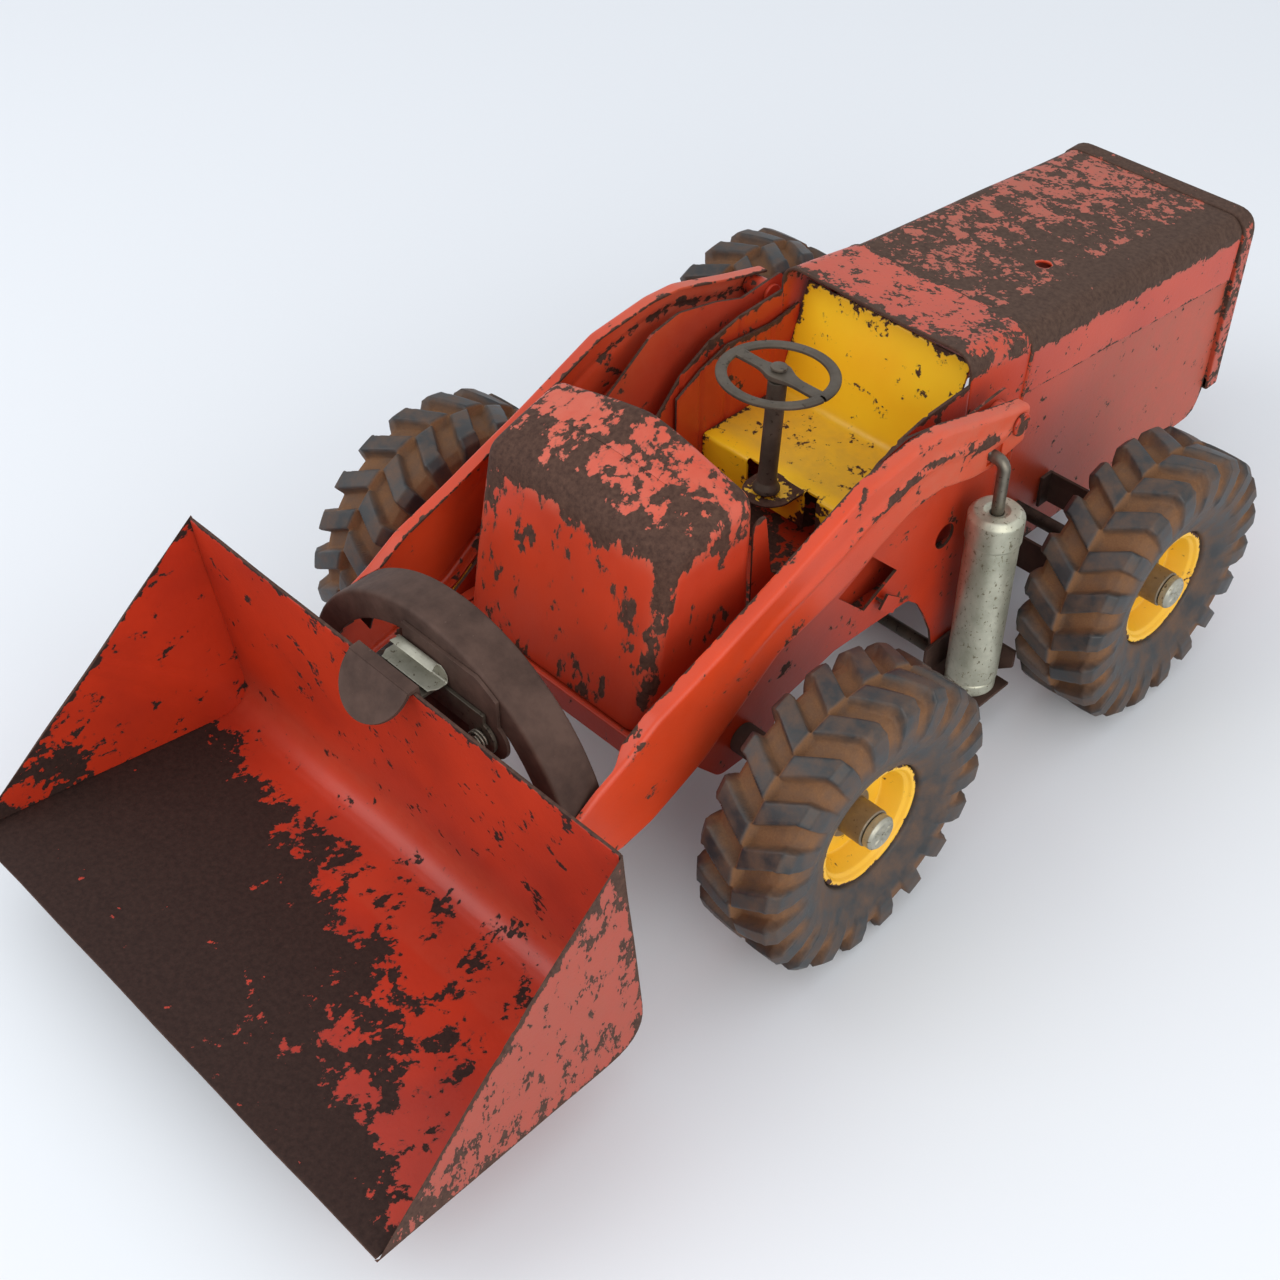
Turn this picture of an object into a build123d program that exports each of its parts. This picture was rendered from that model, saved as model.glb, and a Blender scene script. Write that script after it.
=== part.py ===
"""Toy wheel loader in pressed steel: chassis, hood, cockpit, lift boom, bucket, two rams and four wheels.

Every function builds one group of pieces in a working frame: x to the machine's left, y to the rear with
the front axle at y = 0, z up from the floor (millimetres). The last section moves everything so that the
origin is on the floor, midway along the length.
"""
import os
from math import asin, atan2, cos, degrees, hypot, pi, radians, sin

from build123d import *

# ------------------------------------------------------------------ driving dimensions (mm)
SHEET = 1.0          # pressed steel sheet of the body
WEB = 1.2            # heavier sheet of arms, arch and brackets
GAP = 0.1            # seam between pieces riveted together
RUN = 0.06           # radial clearance of turning fits

AXLE_Z = 47.0        # height of both axles
AXLE_R = 2.4
WHEELBASE = 145.3
TYRE_R = 47.0        # over the lugs
TYRE_HALF = 15.5     # half the tyre width
RIM_R = 20.2
LUGS = 20            # lugs on each side of the tread

HOOD_HALF = 38.6     # half width of hood and cockpit, outside
PLATE_X = HOOD_HALF + 7.9     # outer face of the chassis side plates
ARM_X = PLATE_X + 9.5         # outer face of the lift arm webs
RAM_R = 8.5
RAM_X = ARM_X + 4.5
WHEEL_X = RAM_X + RAM_R + 1.7 + TYRE_HALF   # middle of each tyre

HOOD_FRONT_Y = 106.0
HOOD_STEP_Y = 138.5
HOOD_STEP_Z = 120.6
HOOD_REAR_Y = 262.0
HOOD_FALL = 5.25     # degrees the hood top drops to the rear
REAR_Y = 270.0
SILL_Z = 28.0        # lower edge of the hood sides

DECK_Z = 57.0        # underside of the cockpit floor
DECK_TOP = DECK_Z + SHEET + GAP     # where the sheets that stand on the floor begin
BOX_HALF = 39.8      # half width of the box in front of the driver, at its rear
BOX_TOP = 129.0      # its rear corners; the middle of its rear edge is BOX_PEAK higher
BOX_PEAK = 9.8
BOX_FRONT, BOX_REAR = -34.0, 9.8
SEAT_Z = 80.0
SEAT_FRONT = 67.0
SEAT_FOLD = 103.0

BOOM_Y, BOOM_Z = 108.5, 110.0      # boom pivot
HINGE_Y, HINGE_Z = -74.0, 62.0     # bucket pivot
HOOK_Y, HOOK_Z = 97.0, 104.0       # ram rod end in the arm
RAM_Y = HOOK_Y
RAM_BOTTOM, RAM_TOP = 13.0, 86.0
ROD_R = 2.0

BUCKET_HALF = 89.9                 # at the back wall
BUCKET_FLARE = 4.8                 # extra half width at the lip
BUCKET_TOP = (-89.9, 103.2)
BUCKET_HEEL = (-81.9, 22.6)
BUCKET_LIP = (-177.1, 30.0)
HEEL_R = 12.0

ARCH_R = ARM_X + 1.5
ARCH_Y = -69.5                     # middle of the arch strip
ARCH_W = 14.0
ARCH_DEPTH = 9.0
ARCH_C = 55.0                      # height of the arch centre

WHEEL_R = 19.0                     # steering wheel
POST_FOOT = (59.0, 81.2)
POST_TOP = (61.8, 123.0)


# ------------------------------------------------------------------ shared shapes
def outline(points, round_at=None):
    """Closed face in the side view from (y, z) points; round_at maps a point number to its radius."""
    face = Plane.YZ * make_face(Polyline([*points, points[0]]))
    for number, radius in (round_at or {}).items():
        y, z = points[number]
        corner = face.vertices().sort_by_distance((0, y, z))[0]
        face = fillet(corner, radius)
    return face


def side_plate(points, x_low, x_high, round_at=None):
    """Plate with the given side view between two x positions."""
    return Pos(x_low, 0, 0) * extrude(outline(points, round_at), amount=x_high - x_low, dir=(1, 0, 0))


def block(x0, x1, y0, y1, z0, z1):
    return Pos((x0 + x1) / 2, (y0 + y1) / 2, (z0 + z1) / 2) * Box(x1 - x0, y1 - y0, z1 - z0)


def bar_x(radius, x0, x1, y, z):
    """Round bar along x."""
    return Pos((x0 + x1) / 2, y, z) * Rot(0, 90, 0) * Cylinder(radius, abs(x1 - x0))


def bar_y(radius, y0, y1, x, z):
    return Pos(x, (y0 + y1) / 2, z) * Rot(90, 0, 0) * Cylinder(radius, abs(y1 - y0))


def bar_z(radius, z0, z1, x, y):
    return Pos(x, y, (z0 + z1) / 2) * Cylinder(radius, abs(z1 - z0))


def turned_x(profile):
    """Solid of revolution about x from (x, radius) points."""
    face = Plane.XY * make_face(Polyline([*profile, profile[0]]))
    return revolve(face, Axis.X)


def other_side(shape):
    return mirror(shape, Plane.YZ)


def band(points, width):
    """Strip of constant width around an open line of (y, z) points."""
    left, right = [], []
    for i, (y, z) in enumerate(points):
        y0, z0 = points[max(i - 1, 0)]
        y1, z1 = points[min(i + 1, len(points) - 1)]
        length = hypot(y1 - y0, z1 - z0)
        ny, nz = -(z1 - z0) / length * width / 2, (y1 - y0) / length * width / 2
        left.append((y + ny, z + nz))
        right.append((y - ny, z - nz))
    return left + right[::-1]


# ------------------------------------------------------------------ wheels
def tyre():
    """Ribbed tractor tyre centred on the origin, axle along x, outer side towards +x."""
    t = TYRE_HALF
    half = [(8.7, 19.0), (8.7, 20.4), (10.8, 20.4), (t - 2.6, TYRE_R - 21), (t - 1.0, TYRE_R - 14.5),
            (t - 1.2, TYRE_R - 10), (t - 3, TYRE_R - 5.4), (t - 6.5, TYRE_R - 4), (0, TYRE_R - 3.4)]
    carcass = turned_x(half + [(-x, r) for x, r in half[-2::-1]])
    edge = [(0, TYRE_R - 14), (t - 0.3, TYRE_R - 14), (t, TYRE_R - 7), (t - 0.6, TYRE_R - 2), (t - 3, TYRE_R),
            (0, TYRE_R)]
    cheek = turned_x(edge)
    lug = make_face(Polyline([(0.3, -3.9), (0.3, 3.9), (t - 4, 10.2), (t + 1, 10.8), (t + 1, 3.6), (t - 4, 3.0),
                              (0.3, -3.9)]))
    lug = (Pos(0, 0, TYRE_R - 13.8) * extrude(lug, amount=16)) & cheek
    step = 360 / LUGS
    lugs = [Rot(i * step, 0, 0) * lug for i in range(LUGS)]
    lugs += [Rot((i + 0.5) * step, 0, 0) * other_side(lug) for i in range(LUGS)]
    return carcass.fuse(*lugs)


def hub():
    """Two pressed discs back to back with rolled lips that hold the tyre."""
    half = [(1.6, 6.1), (1.6, 14.6), (8.2, 17.0), (9.0, 18.0), (10.2, 18.6), (10.2, RIM_R), (8.8, RIM_R),
            (8.8, 18.9)]
    return turned_x(half + [(-x, r) for x, r in half[::-1]])


def bush():
    """Bearing collar pressed through the hub, flanged against the outer disc."""
    length = TYRE_HALF - 0.8
    profile = [(-length, AXLE_R + RUN), (-length, 4.6), (-1.7, 4.6), (-1.7, 6.0), (1.7, 6.0), (1.7, 8.0), (3.0, 8.0),
               (3.0, 6.0), (11.2, 6.0), (11.4, 5.6), (11.4, AXLE_R + RUN)]
    return turned_x(profile)


def axle_cap():
    """Push-on cap over the axle end."""
    profile = [(11.7, AXLE_R + 0.05), (11.7, 5.5), (13.7, 5.5), (14.4, 4.8), (14.7, 3.4), (14.7, 0), (13.3, 0),
               (13.3, AXLE_R + 0.05)]
    return turned_x(profile)


def wheels():
    parts, caps = {}, []
    one_tyre, one_hub, one_bush, one_cap = tyre(), hub(), bush(), axle_cap()
    for name, y in (("front", 0.0), ("rear", WHEELBASE)):
        for side, at in (("left", Pos(WHEEL_X, y, AXLE_Z)), ("right", Pos(-WHEEL_X, y, AXLE_Z) * Rot(0, 0, 180))):
            parts[f"tyre_{name}_{side}"] = at * one_tyre
            parts[f"hub_{name}_{side}"] = at * one_hub
            parts[f"bush_{name}_{side}"] = at * one_bush
            caps.append(at * one_cap)
        end = WHEEL_X + 13.2
        parts[f"axle_{name}"] = bar_x(AXLE_R, -end, end, y, AXLE_Z)
    parts["axle_caps"] = Compound(caps)
    return parts


# ------------------------------------------------------------------ chassis
def chassis():
    parts = {}
    inner, outer = PLATE_X - SHEET, PLATE_X
    rim = [(-33, 64), (0, 86), (30, 102), (54, 119), (66, 121.5), (83, 118), (95, 114), (114.5, 116), (114.5, 60),
           (107, 30), (106, 9), (98, 9), (91.5, 16), (92.7, 23), (90.8, 31), (86, 41), (81.5, 48.5), (76, 53.2),
           (41, 54.6), (20, 50), (11, 36.5), (-9, 36.5), (-19, 48), (-33, 56)]
    soft = {0: 2, 3: 6, 4: 5, 7: 2, 10: 2, 11: 3, 14: 6, 17: 5, 19: 5, 20: 6, 21: 6, 22: 4, 23: 2}
    plate = side_plate(rim, inner, outer, soft)
    window = side_plate([(55.2, 83.6), (68.4, 70.4), (53.8, 62.8), (40.6, 76.0)], inner - 1, outer + 1)
    plate = plate - window - bar_x(4.5, inner - 1, outer + 1, 91.6, 70.4)
    plate -= bar_x(AXLE_R + 0.05, inner - 1, outer + 1, 0, AXLE_Z)
    plate -= bar_x(2.55, inner - 1, outer + 1, BOOM_Y, BOOM_Z)
    tab = Pos(outer + 1.6, 62.5, 62.3) * Rot(-38, 0, 0) * Box(3.4, 8.6, SHEET)
    tab += Pos(outer + 2.9, 62.5, 62.3) * Rot(-38, 0, 0) * Box(0.9, 8.6, 5.4)
    plate = plate + tab
    parts["side_plate_left"] = plate
    parts["side_plate_right"] = other_side(plate)

    wide, narrow = inner - GAP, HOOD_HALF - 2 * SHEET - 0.3
    floor = block(-wide, wide, 10, 112, DECK_Z, DECK_Z + SHEET)
    floor += block(-narrow, narrow, 111, 152, DECK_Z, DECK_Z + SHEET)
    for s in (-1, 1):
        x = s * (wide - SHEET / 2)
        floor += block(x - SHEET / 2, x + SHEET / 2, 12, 40, DECK_Z, DECK_Z + 7)
        x = s * (narrow - SHEET / 2)
        floor += block(x - SHEET / 2, x + SHEET / 2, 114, 152, DECK_Z, DECK_Z + 7)
    parts["cockpit_floor"] = floor

    front = BOX_FRONT - 2.4
    tray = block(-wide, wide, front, 9.8, 56.4, 63.4) - block(-wide + SHEET, wide - SHEET, front + SHEET, 11, 55, 62.4)
    lip = block(-wide + 1, wide - 1, front, 9.8, 63.4, 64.6)
    lip -= block(-BOX_HALF - 0.6, BOX_HALF + 0.6, BOX_FRONT - 0.7, 11, 63, 66)
    parts["front_platform"] = tray + lip
    parts["leg_rod"] = bar_x(2.2, -wide, wide, 96, 18.5)

    x0, x1 = outer + GAP, WHEEL_X - TYRE_HALF - 0.6
    spacer = bar_x(5, x0, x1, 0, AXLE_Z) - bar_x(AXLE_R + 0.05, x0 - 1, x1 + 1, 0, AXLE_Z)
    parts["front_spacers"] = Compound([spacer, other_side(spacer)])
    x0, x1 = HOOD_HALF - SHEET + GAP, WHEEL_X - TYRE_HALF - 1.6
    y0, y1, z0, z1 = WHEELBASE - 18.2, WHEELBASE + 18.2, 40.6, 53
    strap = block(x0, x1, y0, y1, z0, z1) - block(x0 - 1, x1 - WEB, y0 + WEB, y1 - WEB, z0 - 1, z1 + 1)
    for y in (y0, y1 - 6.0):
        strap += block(x0, x0 + WEB, y, y + 6.0, z0, z1)
    strap -= bar_x(AXLE_R + 0.05, x0 - 5, x1 + 5, WHEELBASE, AXLE_Z)
    parts["rear_axle_straps"] = Compound([strap, other_side(strap)])
    return parts


def front_box():
    """Drawn steel box in front of the driver, leaning back, open underneath. It widens to the rear, and its top
    rises from a straight front edge to a low peak in the middle of the rear edge."""
    def body(inset):
        wide, narrow = BOX_HALF - inset, BOX_HALF - 2.8 - inset
        y0, y1, y2 = BOX_FRONT + inset, BOX_FRONT + 12.4 + inset, BOX_REAR - inset
        z0, z1, z2 = 64.6 - inset, BOX_TOP - 7.0 - inset, BOX_TOP - inset
        face = outline([(y0, z0), (y1, z1), (y2, z2 + BOX_PEAK), (y2, z0)])
        solid = Pos(-wide, 0, 0) * extrude(face, amount=2 * wide, dir=(1, 0, 0))
        at_top = narrow + (wide - narrow) * (y1 - y0) / (y2 - y0)
        for s in (-1, 1):
            a, b, c = Vector(s * at_top, y1, z1), Vector(s * wide, y2, z2), Vector(0, y2, z2 + BOX_PEAK)
            wall = Vector(s * (y2 - y0), narrow - wide, 0)
            for corner, normal in ((b, wall), (a, (b - a).cross(c - a) * s)):
                solid -= Plane(origin=corner, z_dir=normal) * Pos(0, 0, 50) * Box(400, 400, 100)
        edges = solid.edges().filter_by(lambda e: e.center().Z > 66)
        return fillet(edges, 5.0 - inset)
    return {"front_box": body(0) - body(SHEET)}


def cockpit():
    parts = {}
    wall = [(10.1, DECK_TOP), (10.1, 117.8), (15.0, 117.8), (18.5, 95), (30, 88), (47, 93), (59, 105), (72, 112),
            (86, 115), (HOOD_FRONT_Y - GAP, 116), (HOOD_FRONT_Y - GAP, DECK_TOP)]
    side = side_plate(wall, HOOD_HALF - SHEET, HOOD_HALF, {1: 2.3, 2: 2.3, 3: 5, 4: 8, 5: 6, 6: 5, 7: 5})
    parts["cockpit_side_left"], parts["cockpit_side_right"] = side, other_side(side)
    cheek = [(55, DECK_TOP), (55, 99), (66, 105), (78, 109), (99, 107.5), (112, 109.6), (114, DECK_TOP)]
    inner = side_plate(cheek, HOOD_HALF - 2 * SHEET - 1.2, HOOD_HALF - SHEET - 1.2, {1: 6, 2: 5, 3: 5})
    parts["seat_cheek_left"], parts["seat_cheek_right"] = inner, other_side(inner)

    half = HOOD_HALF - 2 * SHEET - 1.2 - GAP
    back_y, back_z = SEAT_FOLD + 12.5, SEAT_Z + 36.5
    run = [(SEAT_FRONT, SEAT_Z - 14), (SEAT_FRONT, SEAT_Z), (SEAT_FOLD, SEAT_Z), (back_y, back_z)]
    a = atan2(back_z - SEAT_Z, back_y - SEAT_FOLD)
    off = (SHEET * sin(a), -SHEET * cos(a))
    under = [(back_y + off[0], back_z + off[1]), (SEAT_FOLD + SHEET * (1 - cos(a)) / sin(a), SEAT_Z - SHEET),
             (SEAT_FRONT + SHEET, SEAT_Z - SHEET), (SEAT_FRONT + SHEET, SEAT_Z - 14)]
    seat = side_plate(run + under, -half, half - 4.0)
    tongue = Plane.XY.offset(SEAT_Z - SHEET) * (Pos(0, 60.5) * Circle(8.5) + Pos(0, 65) * Rectangle(17, 9))
    seat += extrude(tongue, amount=SHEET)
    seat -= block(-15.5, -10, 60, 68.2, SEAT_Z - 9, SEAT_Z + 1)
    seat -= block(8.8, 14, 60, 68.2, SEAT_Z - 15, SEAT_Z + 1)
    seat -= bar_z(2.0, SEAT_Z - 3, SEAT_Z + 2, 0, POST_FOOT[0])
    parts["seat"] = seat
    return parts


def steering():
    """Round post leaning back a little, and a stamped wheel with one crossbar that turns on its top."""
    lean = degrees(atan2(POST_TOP[0] - POST_FOOT[0], POST_TOP[1] - POST_FOOT[1]))
    length = hypot(POST_TOP[0] - POST_FOOT[0], POST_TOP[1] - POST_FOOT[1])
    at = Pos(0, POST_FOOT[0], POST_FOOT[1]) * Rot(-lean, 0, 0)
    post = bar_z(3.0, 0, length - 2, 0, 0) + bar_z(1.5, length - 2.1, length + 2.2, 0, 0)
    post += Pos(0, 0, length + 2.4) * Cylinder(2.7, 1.0) + Pos(0, 0, 1.0) * Cone(4.6, 3.2, 2.2)
    wheel = Pos(0, 0, length) * (Cylinder(WHEEL_R, 1.6) - Cylinder(WHEEL_R - 3.6, 3)
                                 + Box(2 * WHEEL_R - 3, 4.4, 1.6) + Cylinder(4.2, 3.0) - Cylinder(1.5 + RUN, 6))
    return {"steering_post": at * post, "steering_wheel": at * wheel}


# ------------------------------------------------------------------ hood
def hood():
    parts = {}
    fall = Pos(0, HOOD_STEP_Y, HOOD_STEP_Z) * Rot(-HOOD_FALL, 0, 0)

    def arch_section(half, depth, radius):
        """Upside-down U, top at z = 0."""
        outer = Pos(0, -depth / 2 - 10) * Rectangle(2 * half, depth + 20)
        outer = fillet(outer.vertices().group_by(Axis.Y)[-1], radius)
        return outer

    def run_of(half, depth, radius, thick, y0, y1):
        big = arch_section(half, depth, radius)
        small = Pos(0, -thick) * arch_section(half - thick, depth, max(radius - thick, 0.5))
        face = (big - small) & (Pos(0, -depth / 2) * Rectangle(2 * half + 2, depth))
        return Pos(0, y1, 0) * Rot(90, 0, 0) * extrude(face, amount=y1 - y0)

    length = (HOOD_REAR_Y - HOOD_STEP_Y) / cos(radians(HOOD_FALL))
    cover = fall * run_of(HOOD_HALF, 23, 7, SHEET, 0.6, length)
    cover -= fall * Pos(13.2, 38.5, 0) * Cylinder(2.75, 8)
    parts["hood_cover"] = cover

    front_fall = degrees(atan2(126 - HOOD_STEP_Z - 0.6, HOOD_STEP_Y - HOOD_FRONT_Y))
    front = Pos(0, HOOD_FRONT_Y, 126) * Rot(-front_fall, 0, 0) * run_of(HOOD_HALF, 75, 7, SHEET, -12, 34.5)
    front &= block(-60, 60, HOOD_FRONT_Y, HOOD_STEP_Y + 9, 66, 140)
    front -= fall * block(-60, 60, 0.4, 50, -90, 30)
    bead = fall * run_of(HOOD_HALF + 0.7, 54, 7.7, SHEET + 0.4, -1.4, 0.4)
    parts["hood_front"] = front + (bead - fall * run_of(HOOD_HALF - SHEET, 80, 6, 40, -3, 3))

    x0, x1 = HOOD_HALF - 2 * SHEET - 0.2, HOOD_HALF - SHEET - 0.2
    side = side_plate([(HOOD_FRONT_Y + 9.5, SILL_Z + 8), (HOOD_FRONT_Y + 9.5, 104), (HOOD_STEP_Y, 104),
                       (HOOD_REAR_Y, 93), (HOOD_REAR_Y, 60), (258, SILL_Z), (122, SILL_Z)], x0, x1, {5: 3, 6: 3})
    side -= bar_x(AXLE_R + 0.05, x0 - 2, x1 + 2, WHEELBASE, AXLE_Z)
    parts["hood_side_left"], parts["hood_side_right"] = side, other_side(side)

    top = HOOD_STEP_Z - (HOOD_REAR_Y - HOOD_STEP_Y) * sin(radians(HOOD_FALL)) / cos(radians(HOOD_FALL))
    frame = Rectangle(2 * HOOD_HALF + 1.4, top - 38 + 0.8)
    frame = fillet(frame.vertices().group_by(Axis.Y)[-1], 8)
    frame = Pos(0, (top + 38) / 2 + 0.2) * frame
    hole = Pos(0, (top + 38) / 2 - 2) * Rectangle(2 * HOOD_HALF - 9, top - 38 - 7)
    hole = fillet(hole.vertices(), 5)
    tilt = Pos(0, HOOD_REAR_Y + GAP, 0)
    rim = tilt * Pos(0, REAR_Y - HOOD_REAR_Y - GAP, 0) * Rot(90, 0, 0) * extrude(frame, amount=7.9)
    cut = tilt * Pos(0, 20, 0) * Rot(90, 0, 0) * extrude(hole, amount=40)
    parts["hood_rear_rim"] = rim - cut
    inner = fillet((Pos(0, (top + 38) / 2 - 2) * Rectangle(2 * HOOD_HALF - 9.3, top - 38 - 7.3)).vertices(), 4.8)
    grille = Pos(0, HOOD_REAR_Y + 4.2, 0) * Rot(90, 0, 0) * extrude(inner, amount=SHEET)
    for i in range(7):
        z = 49 + i * 7.5
        grille -= block(-26, 26, HOOD_REAR_Y, HOOD_REAR_Y + 8, z - 1.3, z + 1.3)
    parts["hood_grille"] = grille
    return parts


# ------------------------------------------------------------------ boom and rams
ARM_TOP = [(-66, 79.3), (-55.3, 84.1), (-43.8, 91), (-20.7, 99.3), (3.2, 108.5), (37.2, 123.2), (60.2, 126.1),
           (71.9, 125.6), (95.3, 119.1), (113, 114.6)]
ARM_LOW = [(112, 101), (98, 98.4), (88.2, 99.6), (72.6, 104.2), (58.2, 103.1), (46.1, 98.1), (31.5, 91.3),
           (23.5, 89), (4, 83.5), (-25.6, 62.2), (-46, 53), (-57, 50.6)]


def boom():
    parts = {}
    nose = [(HINGE_Y + 10.4 * cos(radians(a)), HINGE_Z + 10.4 * sin(radians(a))) for a in (250, 215, 180, 145, 112)]
    rim = ARM_TOP + ARM_LOW + nose
    arm = side_plate(rim, ARM_X - WEB, ARM_X)
    deep = 5.0
    rail = side_plate(rim, ARM_X - deep, ARM_X - WEB)
    inset = offset(outline(rim), amount=-WEB)
    rail -= Pos(ARM_X - deep - 1, 0, 0) * extrude(inset, amount=deep + 2, dir=(1, 0, 0))
    rail -= block(0, 80, -100, -54, 40, 100)
    rail -= block(0, 80, 84, 130, 80, 112.5)
    arm += rail
    middle = [(-50, 68), (-30, 78), (0, 95), (30, 107), (50, 113.5), (64, 115.6), (80, 113.5), (100, 110.6),
              (108, 110)]
    ridge = Pos(ARM_X - 0.1, 0, 0) * extrude(outline(band(middle[1:-1], 3.0)), amount=1.0, dir=(1, 0, 0))
    arm += chamfer(ridge.faces().sort_by(Axis.X)[-1].edges(), 0.7)
    gusset = Polyline([(ARM_X - 0.6, 101.5), (ARM_X - 0.6, 113), (PLATE_X + 0.5, 114.6), (ARM_X - 0.6, 101.5)])
    arm += Pos(0, 0, 115.0) * extrude(make_face(gusset), amount=WEB)
    slot = block(ARM_X - 9, ARM_X + 5, HOOK_Y - 3.0, HOOK_Y + 4.1, HOOK_Z - 2.55, HOOK_Z + 2.55)
    arm -= slot
    arm -= bar_x(2.6, ARM_X - 9, ARM_X + 5, BOOM_Y, BOOM_Z)
    arm -= bar_x(2.25, ARM_X - 9, ARM_X + 5, HINGE_Y, HINGE_Z)
    parts["lift_arm_left"], parts["lift_arm_right"] = arm, other_side(arm)

    pin = bar_x(2.5, PLATE_X - SHEET - 1.4, ARM_X + 0.6, BOOM_Y, BOOM_Z)
    pin += bar_x(3.8, PLATE_X + GAP, ARM_X - WEB - 0.35, BOOM_Y, BOOM_Z)
    pin += bar_x(3.8, ARM_X + 0.35, ARM_X + 1.3, BOOM_Y, BOOM_Z)
    pin += bar_x(3.6, PLATE_X - SHEET - 1.4, PLATE_X - SHEET - GAP, BOOM_Y, BOOM_Z)
    parts["boom_pins"] = Compound([pin, other_side(pin)])

    edge = degrees(asin((ARM_X - WEB - GAP) / ARCH_R))
    ring = Circle(ARCH_R) - Circle(ARCH_R - ARCH_DEPTH)
    skin = Circle(ARCH_R) - Circle(ARCH_R - WEB)
    wedge = make_face(Polyline([(0, 0), (200 * sin(radians(edge)), 200 * cos(radians(edge))), (0, 300),
                                (-200 * sin(radians(edge)), 200 * cos(radians(edge))), (0, 0)]))
    wedge &= Rectangle(2 * (ARM_X - WEB - GAP), 300)

    def slab(face, y_front, thick):
        return Pos(0, y_front + thick, ARCH_C) * Rot(90, 0, 0) * extrude(face & wedge, amount=thick)

    front = ARCH_Y - ARCH_W / 2
    arch = slab(skin, front, ARCH_W) + slab(ring, front, WEB) + slab(ring, front + ARCH_W - WEB, WEB)
    foot_z = ARCH_C + ARCH_R * cos(radians(edge))
    for s in (-1, 1):
        x = s * (ARM_X - WEB - GAP - WEB / 2)
        foot = block(x - WEB / 2, x + WEB / 2, front, front + ARCH_W, foot_z - 13, foot_z + 1)
        arch += foot - bar_x(4.4, -80, 80, HINGE_Y, HINGE_Z)
    parts["boom_arch"] = arch
    return parts


def rams():
    parts = {}
    tube = bar_z(RAM_R, RAM_BOTTOM, RAM_TOP - 10, RAM_X, RAM_Y)
    tube -= bar_z(RAM_R - SHEET, RAM_BOTTOM + 1.5, RAM_TOP, RAM_X, RAM_Y)
    cap = bar_z(RAM_R + 0.5, RAM_TOP - 11, RAM_TOP, RAM_X, RAM_Y)
    cap = fillet(cap.edges().group_by(Axis.Z)[-1], 1.6)
    cap -= bar_z(RAM_R - SHEET, RAM_TOP - 20, RAM_TOP - 1.4, RAM_X, RAM_Y)
    cap -= bar_z(ROD_R + RUN, RAM_TOP - 3, RAM_TOP + 2, RAM_X, RAM_Y)
    bend = 3.2
    path = FilletPolyline([(RAM_X, RAM_Y, 34), (RAM_X, RAM_Y, HOOK_Z - 0.001), (ARM_X - 5.8, RAM_Y, HOOK_Z)],
                          radius=bend)
    rod = sweep(Plane(origin=(RAM_X, RAM_Y, 34), z_dir=(0, 0, 1)) * Circle(ROD_R), path)
    rod += bar_z(RAM_R - SHEET - 0.3, 31, 35, RAM_X, RAM_Y)
    ear_y = RAM_Y + RAM_R + 1.5          # rear face of the ear, clear of the tube
    base = block(PLATE_X + GAP, RAM_X + 9.2, RAM_Y - 8, ear_y - WEB / 2, RAM_BOTTOM - 1.3, RAM_BOTTOM - GAP)
    ear = Plane.XZ * make_face(Polyline([(RAM_X - 4, 9.2), (RAM_X + 9.6, 20), (RAM_X + 9.6, 27), (RAM_X + 2, 27),
                                         (RAM_X - 4, 9.2)]))
    ear = Pos(0, ear_y, 0) * extrude(ear, amount=WEB)
    hanger = base + ear + block(PLATE_X + GAP, PLATE_X + GAP + WEB, RAM_Y - 8, RAM_Y + 9, RAM_BOTTOM - 1.3, 24)
    rivet = bar_y(2.4, ear_y, ear_y + 1.2, RAM_X + 6, 21.5)
    hanger += rivet
    for side in ("left", "right"):
        keep = (lambda shape: shape) if side == "left" else other_side
        parts[f"ram_tube_{side}"] = keep(tube + cap)
        parts[f"ram_rod_{side}"] = keep(rod)
        parts[f"ram_hanger_{side}"] = keep(hanger)
    return parts


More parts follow.
